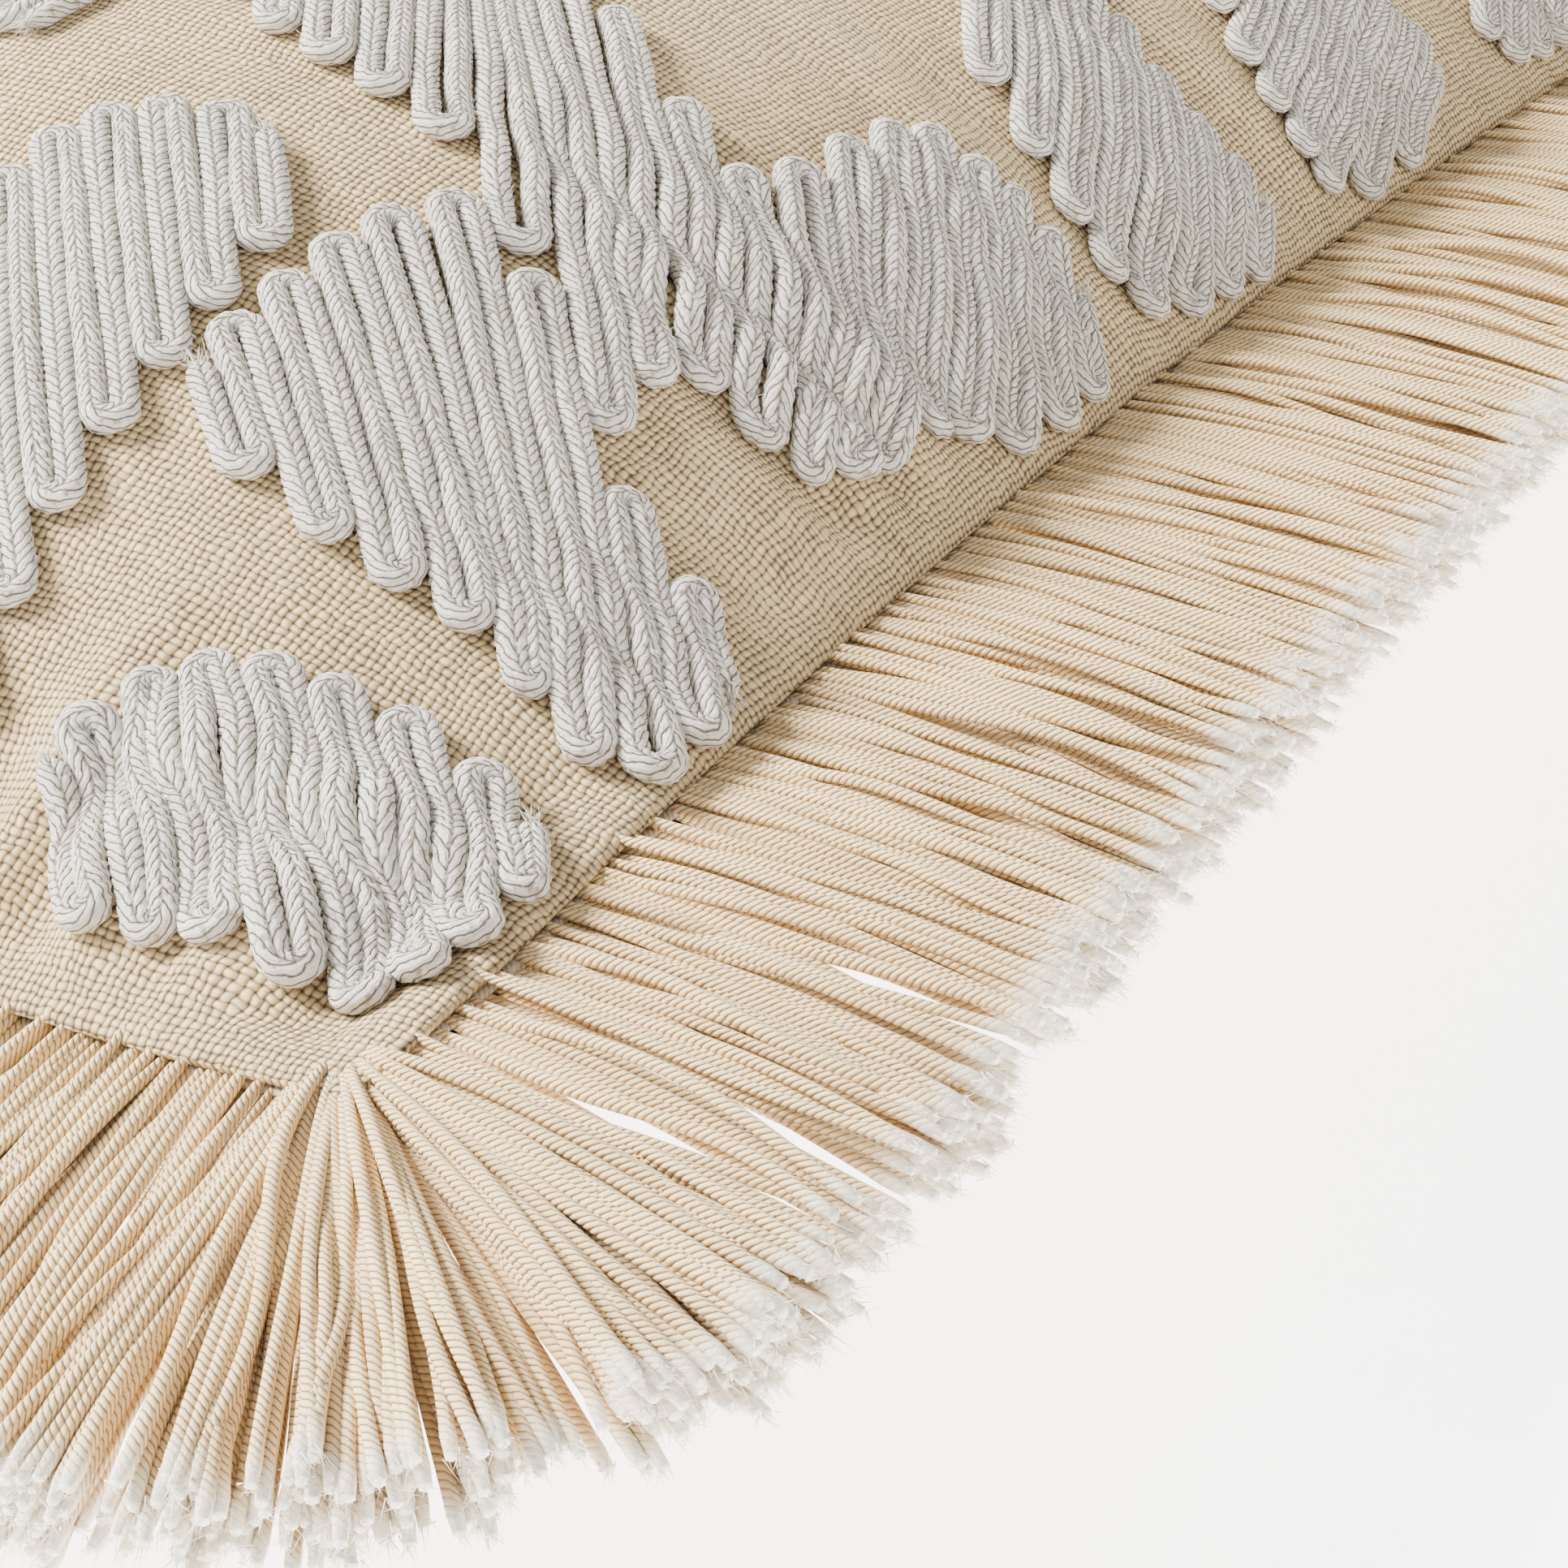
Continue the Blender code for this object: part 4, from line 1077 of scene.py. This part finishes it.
def cord_hairs(points, centre, forward, rng):
    """Loose fibres standing off a cord, and a frayed brush at each of its ends, as thin closed slivers."""
    rings, sides = points.shape[:2]
    count = int(rings * RING_STEP * HAIRS_PER_METRE)
    ring = rng.integers(2, rings - 2, count)
    side = rng.integers(0, sides, count)
    base = points[ring, side]
    way = unit(base - centre[ring]) * 0.45 + forward[ring] * rng.choice((-1, 1), (count, 1)) * 0.8
    way = unit(way + rng.normal(0, 0.35, (count, 3)))
    length = rng.uniform(0.0005, 0.0017, (count, 1))
    brush = np.repeat(np.stack((centre[1], centre[-2])), FRAY_FIBRES, axis=0)
    brush_way = np.repeat(np.stack((-forward[0], forward[-1])), FRAY_FIBRES, axis=0)
    brush_way = unit(brush_way + rng.normal(0, 0.55, brush_way.shape))
    brush = brush + rng.normal(0, 0.0006, brush.shape)
    base = np.concatenate((base, brush))
    way = np.concatenate((way, brush_way))
    length = np.concatenate((length, rng.uniform(0.0015, 0.0036, (len(brush), 1))))
    across = unit(np.cross(way, rng.normal(0, 1, way.shape)))
    up = np.cross(across, way)
    width = rng.uniform(0.00004, 0.00008, (len(way), 1))
    base = base - way * 0.0002
    tip = base + way * length + rng.normal(0, 0.00018, base.shape)
    return slivers(base, across, up, width, tip)


def add_cords():
    """All the motifs, each turned by a quarter for every next corner or side."""
    total = 0.0
    hairs = []
    layout = [(shape, rails, QUARTERS) for shape, rails in MOTIFS.items()] + [("side_lens", SIDE_LENS, SIDES)]
    for number, (shape, rails, places) in enumerate(layout):
        path = serpentine(*rails, seed=50 + number)
        for turn, place in enumerate(places):
            def locate(points, turn=turn):
                a, b = CLOTH_MAP.place(points[:, 0], points[:, 1])
                for _ in range(turn):
                    a, b = -b, a
                return FRONT.at(a, b)
            length, loose = cord_tube("braid_" + shape + "_" + place, path, locate,
                                      ["cord_" + shape + "_" + place], 100 + number * 10 + turn)
            total += length
            hairs.append(loose)
    hairs = np.concatenate(hairs)
    faces = sliver_faces(len(hairs))
    verts = hairs.reshape(-1, 3)
    uv = np.tile((0.0009, 0.0), (len(verts), 1))
    show(build_mesh("cord_fuzz", verts, faces, BRAID, uv), "braided_cord")
    print("cord length", round(total, 2))


add_cords()


# ---------------------------------------------------------------- fringe
YARN_RINGS = 24
YARN_SIDES = 6
FRINGE_DROOP = 0.0115
YARNS_PER_METRE = 2900
TUFT_FIBRES = 9
FRINGE_SHARE = 0.985
FAN_YARNS = 330
FAN_ROOT = 0.0032
FAN_BACK_OFF = 0.0045


def yarn_mesh(name, centre, radius, own, under_shade, nodes):
    """Many yarns as tubes. centre is (yarns, rings, 3), radius (yarns, rings)."""
    count, rings = centre.shape[:2]
    points, forward = rings_round(centre, radius, YARN_SIDES)
    step = np.linalg.norm(np.diff(centre, axis=1), axis=-1)
    run = np.concatenate((np.zeros((count, 1)), np.cumsum(step, 1)), 1)
    end = run[:, -1:] - run
    tip = np.clip(1 - (end - 0.0006) / 0.0042, 0, 1) ** 1.3
    per_yarn = rings * YARN_SIDES + 1
    verts = np.concatenate((points.reshape(count, -1, 3), centre[:, -1:] + forward[:, -1:] * 0.0004), 1)
    ring_faces = tube_faces(rings, YARN_SIDES)
    j = np.arange(YARN_SIDES // 2) * 2
    base = (rings - 1) * YARN_SIDES
    cap = np.stack((np.full(len(j), rings * YARN_SIDES), base + j, base + j + 1,
                    base + (j + 2) % YARN_SIDES), -1)
    j = np.arange(0, YARN_SIDES - 2, 2)
    root = np.stack((np.zeros(len(j), int), (j + 3) % YARN_SIDES, j + 2, j + 1), -1)
    faces = np.concatenate((ring_faces, cap, root))
    place = (faces[None] + np.arange(count)[:, None, None] * per_yarn).reshape(-1, 4)
    i, j = np.meshgrid(np.arange(rings - 1), np.arange(YARN_SIDES), indexing="ij")
    i, j = i.ravel(), j.ravel()
    turn = np.stack((j, j + 1, j + 1, j), -1) / YARN_SIDES
    ring = np.stack((i, i, i + 1, i + 1), -1)
    other = len(cap) + len(root)
    turn = np.concatenate((turn, np.zeros((other, 4))))
    ring = np.concatenate((ring, np.full((len(cap), 4), rings - 1), np.zeros((len(root), 4), int)))
    along = run[:, ring] + own[:, None, None] * 0.01
    uv = np.stack((np.broadcast_to(turn, along.shape), along), -1).reshape(-1, 2)

    def spread(values, last):
        values = np.repeat(values, YARN_SIDES, axis=1)
        return np.concatenate((values, last), 1).ravel()

    ones = np.ones((count, rings))
    attributes = {"tip": spread(tip, np.ones((count, 1))),
                  "own": spread(own[:, None] * ones, own[:, None]),
                  "under_shade": spread(under_shade[:, None] * ones, under_shade[:, None])}
    piece = build_mesh(name, verts.reshape(-1, 3), place, YARN, uv, attributes)
    show(piece, "fringe_cotton", *nodes)
    return forward[:, -1], centre[:, -1]


def add_tufts(name, ends, ways, seed):
    """Brushed fibres at the cut ends of the yarns."""
    rng = np.random.default_rng(seed)
    count = len(ends) * TUFT_FIBRES
    base = np.repeat(ends, TUFT_FIBRES, axis=0) + rng.normal(0, 0.00035, (count, 3))
    way = unit(np.repeat(ways, TUFT_FIBRES, axis=0) + rng.normal(0, 0.55, (count, 3)))
    base = base - way * 0.0006
    length = rng.uniform(0.0010, 0.0028, (count, 1))
    side = unit(np.cross(way, rng.normal(0, 1, (count, 3))))
    up = np.cross(side, way)
    width = rng.uniform(0.00005, 0.00011, (count, 1))
    point = base + way * length + rng.normal(0, 0.0003, (count, 3))
    verts = slivers(base, side, up, width, point).reshape(-1, 3)
    faces = sliver_faces(count)
    verts[:, 2] = np.maximum(verts[:, 2], 0.0)
    flat = np.zeros(len(verts))
    uv = np.zeros((len(verts), 2))
    piece = build_mesh(name, verts, faces, YARN, uv,
                       {"tip": flat + 0.9, "own": flat + 0.7, "under_shade": flat})
    show(piece, "fringe_cotton")


def yarn_paths(root, way, seed, lean):
    """Centre lines of yarns from their roots, hanging outwards. lean is each tip's sideways drift."""
    rng = np.random.default_rng(seed)
    count = len(root)
    level = rng.uniform(-1, 1, count)
    length = FRINGE_LENGTH * rng.normal(1.0, 0.022, count) + 0.003
    s = np.linspace(0, 1, YARN_RINGS)[None] ** 0.9
    side = np.stack((-way[:, 1], way[:, 0], np.zeros(count)), -1)
    phase = rng.uniform(0, 2 * math.pi, (count, 1))
    beat = rng.uniform(0.5, 1.4, (count, 1))
    sway = rng.normal(0, 0.0007, (count, 1)) * np.sin(s * beat * 2 * math.pi + phase) * s ** 0.5
    sway = sway + rng.normal(0, 0.0011, (count, 1)) * s ** 1.6
    sideways = lean[:, None] * s ** 1.7 + sway
    reach = length[:, None] * s
    droop = -FRINGE_DROOP * (0.55 * s + 0.45 * s ** 2)
    spread = level[:, None] * (0.0011 + 0.0030 * s ** 1.2)
    lift = droop + spread + rng.normal(0, 0.0006, (count, 1)) * np.sin(s * math.pi * 1.5 + phase)
    centre = (root[:, None] + way[:, None] * reach[..., None] + side[:, None] * sideways[..., None])
    centre[..., 2] += lift
    size = rng.normal(1.0, 0.07, (count, 1))
    radius = FRINGE_YARN / 2 * size * (0.72 + 0.28 * np.clip(reach / 0.009, 0, 1))
    end = length[:, None] - reach
    radius = radius * (1 + 0.32 * np.clip(1 - end / 0.0028, 0, 1))
    radius[:, -1] *= 0.62
    # Painted shade for the yarns that lie low in the fringe, under the others.
    under_shade = np.clip(0.5 - level * 0.5, 0, 1)
    return centre, radius, rng.uniform(0, 1, count), under_shade


def clump_lean(place, seed, spacing=0.0085, pull=0.28):
    """Sideways drift that draws the tips of neighbouring yarns together."""
    rng = np.random.default_rng(seed)
    centres = np.cumsum(rng.uniform(0.55, 1.5, 400) * spacing) - 0.35
    nearest = centres[np.clip(np.searchsorted(centres, place), 1, 399)]
    before = centres[np.clip(np.searchsorted(centres, place) - 1, 0, 398)]
    goal = np.where(np.abs(nearest - place) < np.abs(before - place), nearest, before)
    strength = pull * (0.6 + 0.4 * value_noise(place / 0.02 + 31, seed + 5))
    return (goal - place) * strength + 0.0018 * value_noise(place / 0.022 + 7, seed + 6)


def add_fringe():
    """The four sides of the fringe, in two halves each, and the fans at the corners."""
    for side, name in enumerate(SIDES):
        rng = np.random.default_rng(500 + side)
        count = int(2 * MID_HALF * YARNS_PER_METRE * (1.0))
        share = np.sort(rng.uniform(-FRINGE_SHARE, FRINGE_SHARE, count))
        x, y = plan(np.ones(count), share)
        root = np.stack((x - 0.0030, y, np.full(count, SEAM_HEIGHT)), -1)
        root[:, 2] += rng.uniform(-0.0009, 0.0009, count)
        near = np.clip((np.abs(share) - 0.86) / 0.14, 0, 1) ** 1.5
        angle = np.sign(share) * near * math.radians(12)
        way = np.stack((np.cos(angle), np.sin(angle), np.zeros(count)), -1)
        lean = clump_lean(y, 520 + side)
        centre, radius, own, under_shade = yarn_paths(root, way, 540 + side, lean)
        centre = turn_about(centre, side)
        half = count // 2
        for part, own_half in (("a", slice(0, half)), ("b", slice(half, count))):
            ways, ends = yarn_mesh("fringe_" + name + "_" + part, centre[own_half], radius[own_half],
                                   own[own_half], under_shade[own_half], ["fringe_" + name])
            add_tufts("tufts_" + name + "_" + part, ends, ways, 560 + side * 2 + (part == "b"))
    for turn, quarter in enumerate(QUARTERS):
        rng = np.random.default_rng(600 + turn)
        count = int(FAN_YARNS * (1.0))
        spread = np.sort(rng.uniform(0, 1, count))
        angle = -math.pi / 2 + spread * math.pi / 2
        angle = angle + 0.05 * np.sin(spread * 40 + turn)
        corner = MID_HALF + SEAM_PULL_IN - FAN_ROOT
        root = np.stack((corner - FAN_BACK_OFF * np.clip(1 - 2 * spread, 0, 1),
                         -corner + FAN_BACK_OFF * np.clip(2 * spread - 1, 0, 1),
                         np.full(count, SEAM_HEIGHT)), -1)
        root[:, 2] += rng.uniform(-0.0010, 0.0010, count)
        way = np.stack((np.cos(angle), np.sin(angle), np.zeros(count)), -1)
        place = (spread - 0.5) * 0.075
        lean = clump_lean(place, 620 + turn, 0.006, 0.15)
        centre, radius, own, under_shade = yarn_paths(root, way, 640 + turn, lean)
        centre = turn_about(centre, turn)
        ways, ends = yarn_mesh("fringe_fan_" + quarter, centre, radius, own, under_shade,
                               ["fringe_corner_" + quarter])
        add_tufts("tufts_fan_" + quarter, ends, ways, 660 + turn)


add_fringe()


# ---------------------------------------------------------------- camera, stage, lights
def add_camera():
    azimuth, elevation, roll = np.radians((CAMERA_AZIMUTH, CAMERA_ELEVATION, CAMERA_ROLL))
    back = Vector((math.cos(elevation) * math.sin(azimuth), -math.cos(elevation) * math.cos(azimuth),
                   math.sin(elevation)))
    level = Vector((math.cos(azimuth), math.sin(azimuth), 0))
    up = back.cross(level)
    right = level * math.cos(roll) + up * math.sin(roll)
    up = back.cross(right)
    data = bpy.data.cameras.new("camera")
    data.lens = CAMERA_LENS
    data.sensor_width = 36
    data.clip_start = 0.01
    data.clip_end = 20
    camera = bpy.data.objects.new("camera", data)
    turned = Matrix((right, up, back)).transposed().to_4x4()
    camera.matrix_world = Matrix.Translation(CAMERA_PLACE) @ turned
    bpy.context.scene.collection.objects.link(camera)
    bpy.context.scene.camera = camera


def add_stage():
    n = Nodes("stage_white")
    n.finish((0.93, 0.93, 0.93, 1), 0.9)
    n.shader.inputs["Emission Color"].default_value = (1, 1, 1, 1)
    n.shader.inputs["Emission Strength"].default_value = FLOOR_GLOW
    size = FLOOR_HALF
    verts = np.array([(-size, -size, 0), (size, -size, 0), (size, size, 0), (-size, size, 0)], float)
    verts[:, 2] = -0.0002
    floor = build_mesh("floor", verts, np.array([[0, 1, 2, 3]]), n.material)


def area_light(name, place, target, size, power, colour=(1, 1, 1)):
    data = bpy.data.lights.new(name, "AREA")
    data.shape = "SQUARE"
    data.size = size
    data.energy = power
    data.color = colour
    lamp = bpy.data.objects.new(name, data)
    lamp.location = place
    lamp.rotation_mode = "QUATERNION"
    lamp.rotation_quaternion = (Vector(place) - Vector(target)).to_track_quat("Z", "Y")
    bpy.context.scene.collection.objects.link(lamp)


def add_lights():
    world = bpy.data.worlds.new("studio")
    world.use_nodes = True
    world.node_tree.nodes["Background"].inputs[0].default_value = (1, 1, 1, 1)
    world.node_tree.nodes["Background"].inputs[1].default_value = WORLD_LIGHT
    bpy.context.scene.world = world
    area_light("key", (-1.2, -0.6, 1.6), LIGHT_TARGET, 0.8, 270)
    area_light("fill", (1.4, -1.4, 1.0), LIGHT_TARGET, 1.6, 10)


add_camera()
add_stage()
add_lights()
